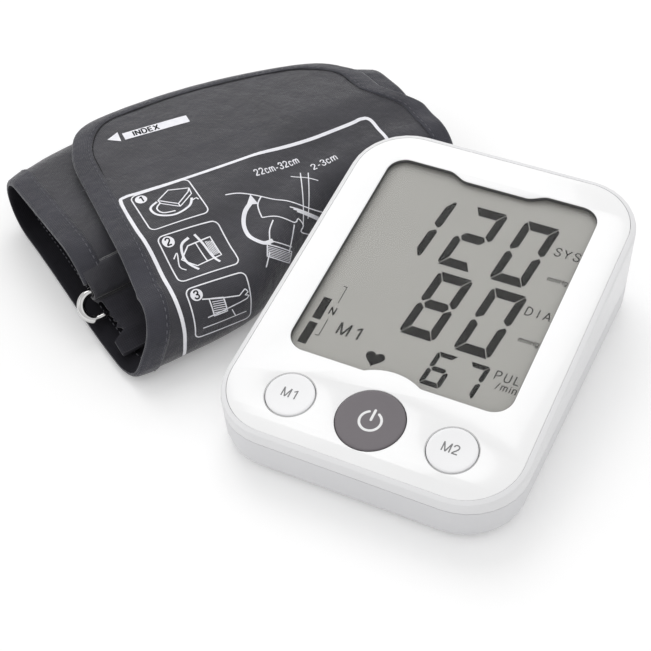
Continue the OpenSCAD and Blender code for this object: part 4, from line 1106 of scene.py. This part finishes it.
def sheet_bmesh(rows, cols):
    """The closed padded sheet, with a UV map in metres."""
    bm, outer = grid_bmesh(len(rows) - 1, cols)
    uv = bm.loops.layers.uv.new("UVMap")
    along = [0.0]
    for g0, g1 in zip(rows, rows[1:]):
        along.append(along[-1] + (sheet_point(g1, 75) - sheet_point(g0, 75)).length)
    where = {}
    for i, g in enumerate(rows):
        pull = corner_in(edge_gap(g))
        s0, s1 = edge_left(g) + pull, edge_right(g) - pull
        for j, vert in enumerate(outer[i]):
            where[vert] = (g, mix(s0, s1, j / cols), along[i])
    faces = list(bm.faces)
    copy = bmesh.ops.duplicate(bm, geom=faces)
    twin = {v: copy["vert_map"][v] for v in where}
    rim = [e for e in bm.edges if len(e.link_faces) == 1]
    bmesh.ops.reverse_faces(bm, faces=[copy["face_map"][f] for f in faces])
    bmesh.ops.bridge_loops(bm, edges=rim)
    for vert, (g, s, _) in list(where.items()):
        vert.co = sheet_point(g, s, swell(g, s, True))
        twin[vert].co = sheet_point(g, s, -swell(g, s, False))
        where[twin[vert]] = where[vert]
    inside = set(twin.values())
    for face in bm.faces:
        lining = sum(v in inside for v in face.verts)
        face.material_index = 1 if lining >= 2 else 0
        for loop in face.loops:
            g, s, length = where[loop.vert]
            loop[uv].uv = (s * MM, length)
    bmesh.ops.recalc_face_normals(bm, faces=bm.faces)
    return bm


# %% [markdown]
# The cloth is dark grey coated nylon. A plain weave gives its bump, and a painted
# shade from the same weave darkens the gaps between its threads and lightens their
# crowns. A sheen from the fibres lightens it where it turns away.


# %% Cloth finishes
def cloth(name, color, roughness, pitch, depth, drift=0.75, sheen=0.3, gloss=0.4):
    """Woven cloth along the piece's UV map."""
    material, tree, shader = new_finish(name, color, roughness, Specular_IOR_Level=gloss)
    shader.inputs["Sheen Weight"].default_value = sheen
    shader.inputs["Sheen Roughness"].default_value = 0.35
    threads = use(tree, WEAVE, Pitch=pitch)
    tone = use(tree, MOTTLE, Size=0.018, Light=(*[c * 1.12 for c in color], 1.0),
               Dark=(*[c * drift for c in color], 1.0))
    shade = add(tree, "ShaderNodeMix", data_type="RGBA", blend_type="MULTIPLY")
    shade.inputs[0].default_value = 1.0
    # Painted shade and light: the colour follows the weave's height, darker in the gaps between threads and
    # lighter on their crowns.
    weave_painted_shade = add(tree, "ShaderNodeMix", data_type="RGBA")
    weave_painted_shade.inputs[6].default_value = (0.8, 0.8, 0.8, 1.0)
    weave_painted_shade.inputs[7].default_value = (1.12, 1.12, 1.12, 1.0)
    tree.links.new(threads.outputs["Height"], weave_painted_shade.inputs[0])
    tree.links.new(tone.outputs["Color"], shade.inputs[6])
    tree.links.new(weave_painted_shade.outputs[2], shade.inputs[7])
    tree.links.new(shade.outputs[2], shader.inputs["Base Color"])
    bump(tree, shader, threads.outputs["Height"], depth)
    for size, height in ((0.0016, 0.00016), (0.007, 0.0008)):
        creases = use(tree, GRAIN, Size=size)
        bump(tree, shader, creases.outputs["Height"], height)
    return material


FINISH["fabric"] = cloth("cuff_nylon", (0.047, 0.046, 0.056), 0.5, 0.0006, 0.0001, sheen=0.55)
FINISH["lining"] = cloth("cuff_lining", (0.02, 0.0195, 0.024), 0.95, 0.0007, 0.0001, sheen=0.0, gloss=0.1)
FINISH["binding"] = cloth("binding_tape", (0.04, 0.04, 0.053), 0.6, 0.0007, 0.00012, sheen=0.45)
FINISH["hook"] = cloth("hook_tape", (0.042, 0.041, 0.049), 0.9, 0.0008, 0.00012, sheen=0.2, gloss=0.1)
FINISH["loops"] = cloth("loop_tape", (0.05, 0.05, 0.056), 0.95, 0.0011, 0.0003, sheen=0.6)
bm = sheet_bmesh(ROWS, COLS)
cuff = make_piece("cuff_pad", bm, [FINISH["fabric"], FINISH["lining"]], "cuff",
                  replaces=["loop_end_panel", "cuff_fabric", "flap_panel", "cuff_lining", "air_bladder"])
print("cuff faces:", len(cuff.data.polygons))

# %% [markdown]
# ## The binding
# A woven tape is folded over the sheet's raw edge, round the flap and back. Its
# cross-section is a flat U with a rounded turn. The strip is a grid again: one
# way it follows the edge, the other way it follows the U.


# %% Binding tape
def binding_line():
    """Places along the edge: each gives (g, s) at a distance inwards."""
    r = CORNER
    straight = [g for g in ROWS if edge_gap(g) > r + 0.5]
    line = [lambda d, g=g: (g, edge_left(g) + d) for g in straight]
    for i in range(17):
        a = math.pi / 2 * i / 16

        def left(d, a=a):
            g = g_at_gap(r - (r - d) * math.sin(a))
            return g, edge_left(g) + r - (r - d) * math.cos(a)

        line.append(left)
    for i in range(1, 40):
        line.append(lambda d, t=i / 40: (g_at_gap(d), mix(edge_left(6) + r, FLAP_S1 - r, t)))
    for i in range(17):
        a = math.pi / 2 * (1 - i / 16)

        def right(d, a=a):
            g = g_at_gap(r - (r - d) * math.sin(a))
            return g, edge_right(6) - r + (r - d) * math.cos(a)

        line.append(right)
    return line + [lambda d, g=g: (g, edge_right(g) - d) for g in reversed(straight)]


def tape_profile():
    """Points of the folded tape: (distance inwards, offset), outside first."""
    def half(d):
        return mix(0.75, SHEET_T / 2 - 0.33, ease(-1.0, 7.0, d))

    t, w = 0.42, BINDING_W
    outside = [(w, half(w)), (w, half(w) + t * 0.6), (w - 0.4, half(w) + t)]
    outside += [(d, half(d) + t + 0.1) for d in (w * 0.7, w * 0.45, w * 0.2, 0.7)]
    turn = [(0.7 - 1.1 * math.sin(a), (half(0.7) + t) * math.cos(a))
            for a in (math.pi * k / 8 for k in range(1, 8))]
    inside = [(d, -o) for d, o in reversed(outside)]
    return outside + turn + inside + [(0.8, -half(0.8) + 0.3), (0.8, half(0.8) - 0.3)]


def ribbon_from_line(line, profile, wobble=0.0, seed=0.0):
    """A closed strip: the profile swept along the edge, with its UV map."""
    n = len(profile)
    bm, rows = grid_bmesh(len(line) - 1, n)
    uv = bm.loops.layers.uv.new("UVMap")
    across = [0.0]
    for p, q in zip(profile, profile[1:] + profile[:1]):
        across.append(across[-1] + math.hypot(q[0] - p[0], q[1] - p[1]))
    length, before, where, depth = 0.0, None, {}, {}
    for i, at in enumerate(line):
        here = sheet_point(*at(BINDING_W / 2))
        length += (here - before).length if before else 0.0
        before = here
        for j, vert in enumerate(rows[i]):
            d, offset = profile[j % n]
            g, s = at(d)
            lift = wobble * crumple(here, 9, seed) * ease(0, 2, abs(offset))
            vert.co = sheet_point(g, s, offset + math.copysign(lift, offset))
            where[vert] = (across[j] * MM, length)
            depth[vert] = offset
    for face in bm.faces:
        face.material_index = 1 if sum(depth[v] for v in face.verts) < -1.0 else 0
        for loop in face.loops:
            loop[uv].uv = where[loop.vert]
    bmesh.ops.remove_doubles(bm, verts=bm.verts, dist=1e-7)
    ends = [e for e in bm.edges if len(e.link_faces) == 1]
    bmesh.ops.holes_fill(bm, edges=ends)
    bmesh.ops.recalc_face_normals(bm, faces=bm.faces)
    return bm


EDGE_LINE = binding_line()
bm = ribbon_from_line(EDGE_LINE, tape_profile(), wobble=0.15, seed=5.0)
binding = make_piece("edge_binding", bm, [FINISH["binding"], FINISH["lining"]], "cuff",
                     replaces=["cuff_binding", "body_binding"])
print("binding faces:", len(binding.data.polygons))

# %% [markdown]
# The tape is sewn down with one line of stitches close to its inner edge. Each
# stitch is a small stretched ball, half sunk in the cloth.


# %% Stitches
def stitch_row(places, normals, pitch=2.6, length=1.9, width=0.42):
    """Stitches along a line of points with the surface's normals, in metres."""
    bm = bmesh.new()
    run, target = 0.0, 0.0
    for (p, q), n in zip(zip(places, places[1:]), normals):
        step = (q - p).length
        while step > 0 and run + step > target:
            centre = p + (q - p) * ((target - run) / step)
            x = (q - p).normalized()
            y = n.cross(x).normalized()
            z = x.cross(y)
            turn = Matrix((x, y, z)).transposed().to_4x4()
            size = Matrix.Diagonal((length / 2 * MM, width / 2 * MM, width / 2 * MM, 1.0))
            place = Matrix.Translation(centre) @ turn @ size
            bmesh.ops.create_icosphere(bm, subdivisions=1, radius=1.0, matrix=place)
            target += pitch * MM
        run += step
    return bm


def edge_stitches(d, offset, line):
    """Stitches that follow the edge, d inwards from it."""
    places, normals = [], []
    for at in line:
        g, s = at(d)
        low, high = sheet_point(g, s, offset), sheet_point(g, s, offset + math.copysign(1.0, offset))
        places.append(low)
        normals.append((high - low).normalized())
    return stitch_row(places, normals[:-1])


thread = moulded("sewing_thread", (0.12, 0.12, 0.14), 0.6, grain=0.0002, depth=0.00005)
lift = SHEET_T / 2 + 0.18
bm = join([edge_stitches(BINDING_W - 1.3, lift, EDGE_LINE), edge_stitches(BINDING_W - 1.3, -lift, EDGE_LINE)])
make_piece("binding_stitches", bm, thread, "cuff")

# %% [markdown]
# Just inside the tape the nylon is drawn down. Along the flap's free edge and its
# two corners a narrow dark strip lies on the nylon: painted shade that stands for
# the shadow in that fold. Its width comes and goes with smooth noise.


# %% Painted shade beside the tape
def shade_strip_bmesh(line, near=7.75, wide=1.0):
    """A narrow strip of painted shade along the inner edge of the tape."""
    bm, rows = grid_bmesh(len(line) - 1, 2)
    for i, at in enumerate(line):
        g, s = at(near)
        fade = ease(0, 0.12, i / len(line)) * ease(0, 0.12, 1 - i / len(line))
        width = wide * fade * (0.75 + 0.5 * crumple(sheet_point(g, s), 16, 4.4))
        for j, vert in enumerate(rows[i]):
            g, s = at(near + width * j / 2)
            vert.co = sheet_point(g, s, swell(g, s, True) + 0.16)
    bmesh.ops.recalc_face_normals(bm, faces=bm.faces)
    return bm


first = next(i for i, at in enumerate(EDGE_LINE) if at(0)[0] > 5.5)
# Painted shade: a near-black strip laid on the nylon, standing for the shadow of the fold beside the tape.
crease_shade_finish, tree, shader = new_finish("crease_shade", (0.012, 0.012, 0.014), 0.9)
tone = use(tree, MOTTLE, Size=0.002, Light=(0.016, 0.016, 0.018, 1.0), Dark=(0.008, 0.008, 0.01, 1.0))
tree.links.new(tone.outputs["Color"], shader.inputs["Base Color"])
make_piece("tape_shade_strip", shade_strip_bmesh(EDGE_LINE[first:len(EDGE_LINE) - first]), crease_shade_finish, "cuff")

# %% [markdown]
# ## The print on the flap
# White ink shows how the cuff is put on: a bold frame line, three numbered
# panels with simple drawings, an arm, and the plain sizes. The print has its own
# flat drawing plane in mm, turned a little on the flap. `flap_point` wraps that
# plane over the flap and round the front fold, a hair above the nylon.

# %% Print plane
PRINT_S, PRINT_B, PRINT_TURN = 24.8, 50.6, math.radians(-6.8)
INK_LIFT, CLOTH_OUT = 0.13, 2.1


def flap_point(x, y, lift=INK_LIFT):
    """A place of the drawing plane on the flap's outer cloth."""
    s = PRINT_S + x * math.cos(PRINT_TURN) - y * math.sin(PRINT_TURN)
    b = PRINT_B + x * math.sin(PRINT_TURN) + y * math.cos(PRINT_TURN)
    back, front = back_mid(s), front_mid(s)
    if b > back:
        g = 6 + (b - back) / ((FLAP_R + CLOTH_OUT) * FLAP_END)
    elif b > front:
        g = 5 + (b - front) / (back - front)
    else:
        g = 5 - (front - b) / (math.pi * (FOLD_R + CLOTH_OUT))
    return sheet_point(g, s, swell(g, s, True) + lift)


def ink_stroke(line, width, closed=False):
    """An inked line of the given width, laid on the flap."""
    n = len(line)
    across = max(1, round(width))
    bm, rows = grid_bmesh(n if closed else n - 1, across)
    for i, row in enumerate(rows):
        x, y = line[i % n]
        (ax, ay), (bx, by) = (line[(i - 1) % n], line[(i + 1) % n]) if closed else (
            line[max(i - 1, 0)], line[min(i + 1, n - 1)])
        length = math.hypot(bx - ax, by - ay) or 1.0
        nx, ny = (ay - by) / length, (bx - ax) / length
        for j, vert in enumerate(row):
            d = width * (j / across - 0.5)
            vert.co = flap_point(x + nx * d, y + ny * d)
    bmesh.ops.remove_doubles(bm, verts=bm.verts, dist=1e-7)
    return bm


def ink_shape(bm, x, y, turn=0.0, lift=INK_LIFT):
    """A flat shape or lettering, laid on the flap about x, y."""
    c, s = math.cos(math.radians(turn)), math.sin(math.radians(turn))
    for vert in bm.verts:
        px, py = vert.co.x / MM, vert.co.y / MM
        vert.co = flap_point(x + px * c - py * s, y + px * s + py * c, lift + vert.co.z / MM)
    return bm


FLAT = Matrix.Identity(4)
print("print plane ready")

# %% [markdown]
# The three panels stand one above the other inside the frame line. Their
# drawings are reduced to a few plain strokes: a small monitor box with its tube,
# the cuff closed round an arm, and an arm resting on a table.

# %% Frame line and panels
ink = []
frame_line = [(103.9, -12.0), (103.4, -4.0), (102.6, 0.9), (99.5, 2.4), (90.0, 1.4), (47.0, -1.4),
              (12.0, -1.2), (2.6, -0.9), (0.1, -3.6), (-0.3, -19.7), (0.2, -31.0), (0.1, -44.0),
              (0.2, -57.0), (0.3, -66.0), (0.5, -76.0)]
ink.append(ink_stroke(smooth_line(frame_line), 1.35))
for top, low, left, right in ((-1.9, -22.7, 3.9, 26.1), (-26.5, -46.4, 4.2, 26.8), (-49.9, -69.4, 4.4, 27.0)):
    ring = rounded_loop(right - left, top - low, 2.2, (left + right) / 2, (top + low) / 2, steps=4)
    ink.append(ink_stroke(straight_line(ring, True, 1.5), 0.5, True))
PANEL_NUMBERS = (("1", 7.1, -4.9), ("2", 7.4, -29.4), ("3", 7.7, -52.9))
for _, x, y in PANEL_NUMBERS:
    ink.append(ink_shape(plate([circle_loop(0, 0, 2.2, 24)], INK_T, FLAT), x, y))
lines = [
    (0.5, True, [(12.2, -8.3), (17.6, -4.6), (24.6, -7.2), (23.6, -9.0), (18.0, -13.4)]),
    (0.45, False, [(12.2, -8.3), (12.4, -10.2), (18.0, -15.2), (24.2, -10.6), (24.6, -7.2)]),
    (0.45, False, [(18.0, -13.4), (18.0, -15.2)]),
    (0.5, True, [(8.8, -37.3), (13.0, -33.0), (21.8, -32.0), (22.4, -40.2), (12.8, -41.6)]),
    (0.45, False, [(16.0, -32.6), (16.8, -41.0)]),
    (0.45, False, [(9.0, -55.0), (14.6, -56.4), (22.6, -57.8), (25.2, -56.0)]),
    (0.45, False, [(9.6, -62.0), (15.0, -61.4), (22.4, -60.4), (25.4, -59.8)]),
    (0.5, True, [(11.4, -55.6), (16.6, -56.6), (17.2, -62.0), (12.0, -62.2)]),
    (0.45, False, [(7.4, -65.6), (25.0, -65.6)]),
    (0.4, False, [(19.0, -62.0), (20.4, -65.4)]),
]
for k in range(6):
    lines.append((0.3, False, [(19.4 + k * 0.5, -33.2 - k * 0.1), (19.8 + k * 0.5, -39.6 + k * 0.1)]))
    lines.append((0.3, False, [(12.2, -57.0 - k * 0.8), (16.8, -57.6 - k * 0.8)]))
for width, closed, points in lines:
    ink.append(ink_stroke(straight_line(points, closed), width, closed))
curves = [
    (0.9, [(11.6, -8.8), (8.2, -11.2), (9.2, -15.6), (14.6, -18.4), (20.8, -16.6), (23.4, -12.8)]),
    (0.6, [(12.6, -9.8), (10.2, -12.2), (11.2, -15.4), (15.6, -16.6)]),
    (0.5, [(22.0, -14.6), (24.8, -13.6), (25.2, -14.8)]),
    (0.9, [(12.6, -43.4), (9.9, -38.0), (11.0, -32.2), (14.6, -30.2)]),
    (0.9, [(17.0, -29.6), (18.4, -34.0), (19.4, -40.0), (20.6, -43.2)]),
    (0.45, [(6.4, -36.2), (8.4, -34.4), (7.0, -39.6), (8.6, -41.8)]),
    (0.45, [(25.2, -56.0), (26.2, -57.4), (24.8, -58.2), (26.4, -58.8), (25.4, -59.8)]),
]
for width, points in curves:
    ink.append(ink_stroke(smooth_line(points), width))
print("panel strokes:", len(ink))

# %% [markdown]
# To the right of the panels a bent arm wears the cuff, with a bold turning arrow
# and two gauge lines for the gap above the elbow. The sizes are plain numbers:
# the arm girth that the cuff fits, and that gap.

# %% Arm drawing, sizes and index mark
arm = [
    (0.5, [(34.6, -16.9), (40.0, -17.4), (47.0, -20.1), (54.0, -24.6), (60.6, -28.6),
           (68.0, -31.5), (75.0, -33.5)]),
    (0.5, [(42.9, -29.4), (48.0, -31.0), (53.8, -34.4), (56.0, -33.0), (57.4, -35.8),
           (55.6, -38.0), (58.2, -39.2), (64.0, -40.6)]),
    (0.5, [(47.0, -20.1), (44.0, -23.6), (42.9, -29.4)]),
    (0.5, [(46.0, -32.2), (42.6, -36.4), (40.4, -42.0)]),
    (0.5, [(53.4, -35.2), (50.4, -40.6), (47.6, -45.8)]),
    (0.5, [(39.2, -44.6), (35.8, -50.0)]),
]
for width, points in arm:
    ink.append(ink_stroke(smooth_line(points), width))
straights = [
    (0.45, False, [(41.0, -40.4), (49.6, -43.6)]),
    (0.4, False, [(66.0, -13.2), (57.2, -36.0)]), (0.4, False, [(68.6, -14.5), (60.4, -33.4)]),
    (0.4, False, [(61.9, -13.6), (70.6, -19.1)]),
    (0.5, True, [(39.4, -41.6), (49.2, -45.4), (47.4, -50.0), (37.6, -46.0)]),
]
for k in range(7):
    straights.append((0.3, False, [(39.0 - k * 0.25, -42.4 - k * 0.6), (48.8 - k * 0.25, -46.2 - k * 0.6)]))
for k in range(3):
    straights.append((0.55, False, [(54.6 + k, -28.0 - k * 1.1), (66.0 + k, -33.4 - k * 1.1)]))
for width, closed, points in straights:
    ink.append(ink_stroke(straight_line(points, closed), width, closed))
sweep = smooth_line([(42.6, -21.6), (38.2, -25.4), (35.2, -31.0), (35.0, -37.0), (38.2, -40.8),
                     (42.2, -40.4)], pitch=0.8)
ink.append(ink_stroke(sweep, 1.5))
ink.append(ink_shape(plate([[(-2.2, -1.2), (1.9, -1.9), (0.9, 2.6)]], INK_T, FLAT), 42.6, -21.2))
ink.append(ink_shape(lettering("22cm-32cm", 2.7, INK_T, FLAT, weight=0.16, lean=0.1), 58.8, -8.3, 9.0))
ink.append(ink_shape(lettering("2-3cm", 3.0, INK_T, FLAT, weight=0.14, lean=0.1), 76.6, -11.6, 9.0))
ink.append(ink_shape(plate([[(0, 0), (5.0, 2.6), (4.2, -3.6)]], INK_T, FLAT), 8.8, 33.6))
ink.append(ink_stroke(straight_line([(14.8, 32.2), (40.4, 30.9)]), 4.4))
white_ink, tree, shader = new_finish("white_ink", (0.93, 0.93, 0.97), 0.5)
tone = use(tree, MOTTLE, Size=0.003, Light=(0.97, 0.97, 1.0, 1.0), Dark=(0.84, 0.84, 0.9, 1.0))
tree.links.new(tone.outputs["Color"], shader.inputs["Base Color"])
make_piece("flap_print", join(ink), white_ink, "cuff", smooth=False)
dark = [ink_shape(lettering(d, 2.9, INK_T, FLAT, weight=0.18), x, y, lift=INK_LIFT + 0.04)
        for d, x, y in PANEL_NUMBERS]
index_word = lettering("INDEX", 2.9, INK_T, FLAT, weight=0.2)
dark.append(ink_shape(index_word, 23.6, 31.8, -3.0, lift=INK_LIFT + 0.04))
make_piece("flap_print_dark", join(dark), FINISH["lining"], "cuff", smooth=False)
print("ink pieces:", len(ink) + len(dark))

# %% [markdown]
# A patch of hook tape is sewn under the flap, and its upper seam shows through
# as a faint line of stitches. At the roll's open end the tail of the cuff comes
# through the steel loop: it drapes over the loop's lower bar, and the hook
# tape's cut edge is left ragged.


# %% Seam and ragged tail
seam = straight_line([(-9.0, 11.0), (96.0, 15.5)], pitch=1.3)
places = [flap_point(x, y, 0.02) for x, y in seam]
ups = [(flap_point(x, y, 1.0) - flap_point(x, y, 0.0)).normalized() for x, y in seam]
bm = stitch_row(places, ups[:-1], pitch=2.4, length=2.1, width=0.3)
make_piece("flap_seam", bm, thread, "cuff")

TAIL = [(35.0, 6.3), (31.0, 8.2), (28.6, 10.6), (26.6, 12.0), (24.4, 12.2), (21.6, 11.2),
        (17.5, 9.8), (13.6, 9.4), (11.2, 9.2), (10.0, 8.5), (7.2, 7.0), (5.0, 6.2), (3.9, 6.4)]
# The tail keeps this far behind the front of the roll, so it stays inside it.
TAIL_SETBACK = 6.5


def b_shift(s):
    """How far the slanting steel loop lies further back at s."""
    return s * math.tan(LOOP_YAW)


def tail_bmesh(cols=130, start=2.9, end=136.0, thick=1.1):
    """The cuff's tail: a thick sheet draped along its profile.

    It stays inside the roll, so it is narrower where the front fold draws back.
    """
    path = smooth_line(TAIL, pitch=0.7)
    bm, grid = grid_bmesh(len(path) - 1, cols)
    uv = bm.loops.layers.uv.new("UVMap")
    where = {}
    for i, row in enumerate(grid):
        b, z = path[i]
        (b0, z0), (b1, z1) = path[max(i - 1, 0)], path[min(i + 1, len(path) - 1)]
        length = math.hypot(b1 - b0, z1 - z0)
        nb, nz = (z0 - z1) / length, (b1 - b0) / length
        torn = (ease(24.5, 20.0, b) * (1.6 * noise.noise(Vector((i * 0.37, 2.0, 0.0)))
                                       + 1.2 * noise.noise(Vector((i * 1.3, 5.0, 0.0)))) * ease(10.0, 11.5, b)
                - 4.2 * ease(11.6, 10.0, b))
        for j, vert in enumerate(row):
            s = mix(start + torn, end, j / cols)
            near = max(TAIL[-1][0], front_b(s) + TAIL_SETBACK)
            b = mix(near, TAIL[0][0], (path[i][0] - TAIL[-1][0]) / (TAIL[0][0] - TAIL[-1][0]))
            wave = 0.25 * crumple(to_frame(s, b, z), 6, 8.8)
            off = -(thick / 2 + wave)
            vert.co = to_frame(s, b + off * nb + b_shift(s), z + off * nz)
            where[vert] = (s * MM, i * 0.7 * MM)
    for face in bm.faces:
        for loop in face.loops:
            loop[uv].uv = where[loop.vert]
    bmesh.ops.recalc_face_normals(bm, faces=bm.faces)
    return bm


def thicken(piece, thickness):
    """Gives a single layer of cloth its thickness."""
    solid = piece.modifiers.new("thickness", "SOLIDIFY")
    solid.thickness = thickness * MM
    solid.offset = 0.0


tail = make_piece("cuff_tail", tail_bmesh(), FINISH["hook"], "cuff")
thicken(tail, 1.0)

# %% [markdown]
# Two patches make the fastening: hooks under the flap and loops on the cloth
# that it lands on. Both are thin woven rectangles, sewn flat, and follow the
# sheet at the same places of its path as the CAD model's patches do.


# %% Hook and loop patches
def patch_bmesh(first, last, margin, outer, steps=24):
    """A thin square of tape on one side of the sheet."""
    side = 1.0 if outer else -1.0
    bm, grid = grid_bmesh(steps, steps)
    uv = bm.loops.layers.uv.new("UVMap")
    where = {}
    for i, row in enumerate(grid):
        g = mix(first, last, i / steps)
        for j, vert in enumerate(row):
            s = mix(edge_left(g) + margin, edge_right(g) - margin, j / steps)
            vert.co = sheet_point(g, s, side * (swell(g, s, outer) + 0.34))
            where[vert] = (s * MM, (g - first) * FLAP_FLAT * MM)
    for face in bm.faces:
        for loop in face.loops:
            loop[uv].uv = where[loop.vert]
    bmesh.ops.recalc_face_normals(bm, faces=bm.faces)
    return bm


for name, finish, first, last, margin, outer, node in (
        ("hook_square", "hook", 5.5, 5.9, 2 * BINDING_W, False, "hook_patch"),
        ("loop_square", "loops", 1.35, 1.85, 4 * BINDING_W, True, "loop_patch")):
    bm = patch_bmesh(first, last, margin, outer)
    patch = make_piece(name, bm, FINISH[finish], "cuff", replaces=[node])
    thicken(patch, 0.55)

# %% [markdown]
# ## The steel loop and its sleeve
# The cuff's end is sewn round one bar of a bent steel loop. The loop itself is a
# good CAD piece. The hem is cloth, so it is made here: one band that runs down
# the cuff's end, round the bar and under it, and leaves the loop's bend open.

# %% Hem of the loop
HEM_OUTER, HEM_INNER = 3.05, 2.0
LOOP_Z = INNER_Z - DROOP_R * (1 - math.cos(DROOP)) - (SLEEVE_R + 0.3) * math.sin(DROOP)


def wrap_profile(s):
    """Cross-section of the hem at s: down the cuff's end and round the bar."""
    centre_b = LOOP_B + b_shift(s)
    points = []
    skin = mix(1.27, 1.97, ease(-1.0, 7.0, s))
    for g, off in ((0.32, skin - 0.5), (0.22, skin + 0.02), (0.13, skin + 0.2), (0.05, skin + 0.5)):
        b, z, nb, nz = section(g, s)
        points.append((b + off * nb, z + off * nz))
    tube = [DROOP + math.radians(d) for d in range(100, 301, 20)]
    points += [(centre_b + HEM_OUTER * math.cos(a), LOOP_Z + HEM_OUTER * math.sin(a)) for a in tube]
    points += [(centre_b + HEM_INNER * math.cos(a), LOOP_Z + HEM_INNER * math.sin(a)) for a in reversed(tube)]
    b, z, nb, nz = section(0.15, s)
    return points + [(b + 0.9 * nb, z + 0.9 * nz)]


def hem_bmesh(start=0.9, end=136.0, rows=96):
    """The cloth that is sewn round the loop's first bar."""
    n = len(wrap_profile(0.0))
    bm, grid = grid_bmesh(rows, n)
    uv = bm.loops.layers.uv.new("UVMap")
    where = {}
    for i, line in enumerate(grid):
        s = mix(start, end, i / rows)
        profile = wrap_profile(s)
        run = 0.0
        for j, vert in enumerate(line):
            b, z = profile[j % n]
            wave = 0.2 * crumple(to_frame(s, b, z), 7, 6.1)
            vert.co = to_frame(s + 0.5 * crumple(to_frame(0, b, z), 5, 1.9), b, z + wave)
            where[vert] = (s * MM, run * MM)
            run += math.dist(profile[j % n], profile[(j + 1) % n])
    for face in bm.faces:
        for loop in face.loops:
            loop[uv].uv = where[loop.vert]
    bmesh.ops.remove_doubles(bm, verts=bm.verts, dist=1e-7)
    bmesh.ops.holes_fill(bm, edges=[e for e in bm.edges if len(e.link_faces) == 1])
    bmesh.ops.recalc_face_normals(bm, faces=bm.faces)
    return bm


make_piece("loop_hem", hem_bmesh(), FINISH["fabric"], "cuff", replaces=["ring_sleeve"])

# %% Finish
low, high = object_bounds()
print("visual box:", [round(x, 4) for v in (low, high) for x in v])
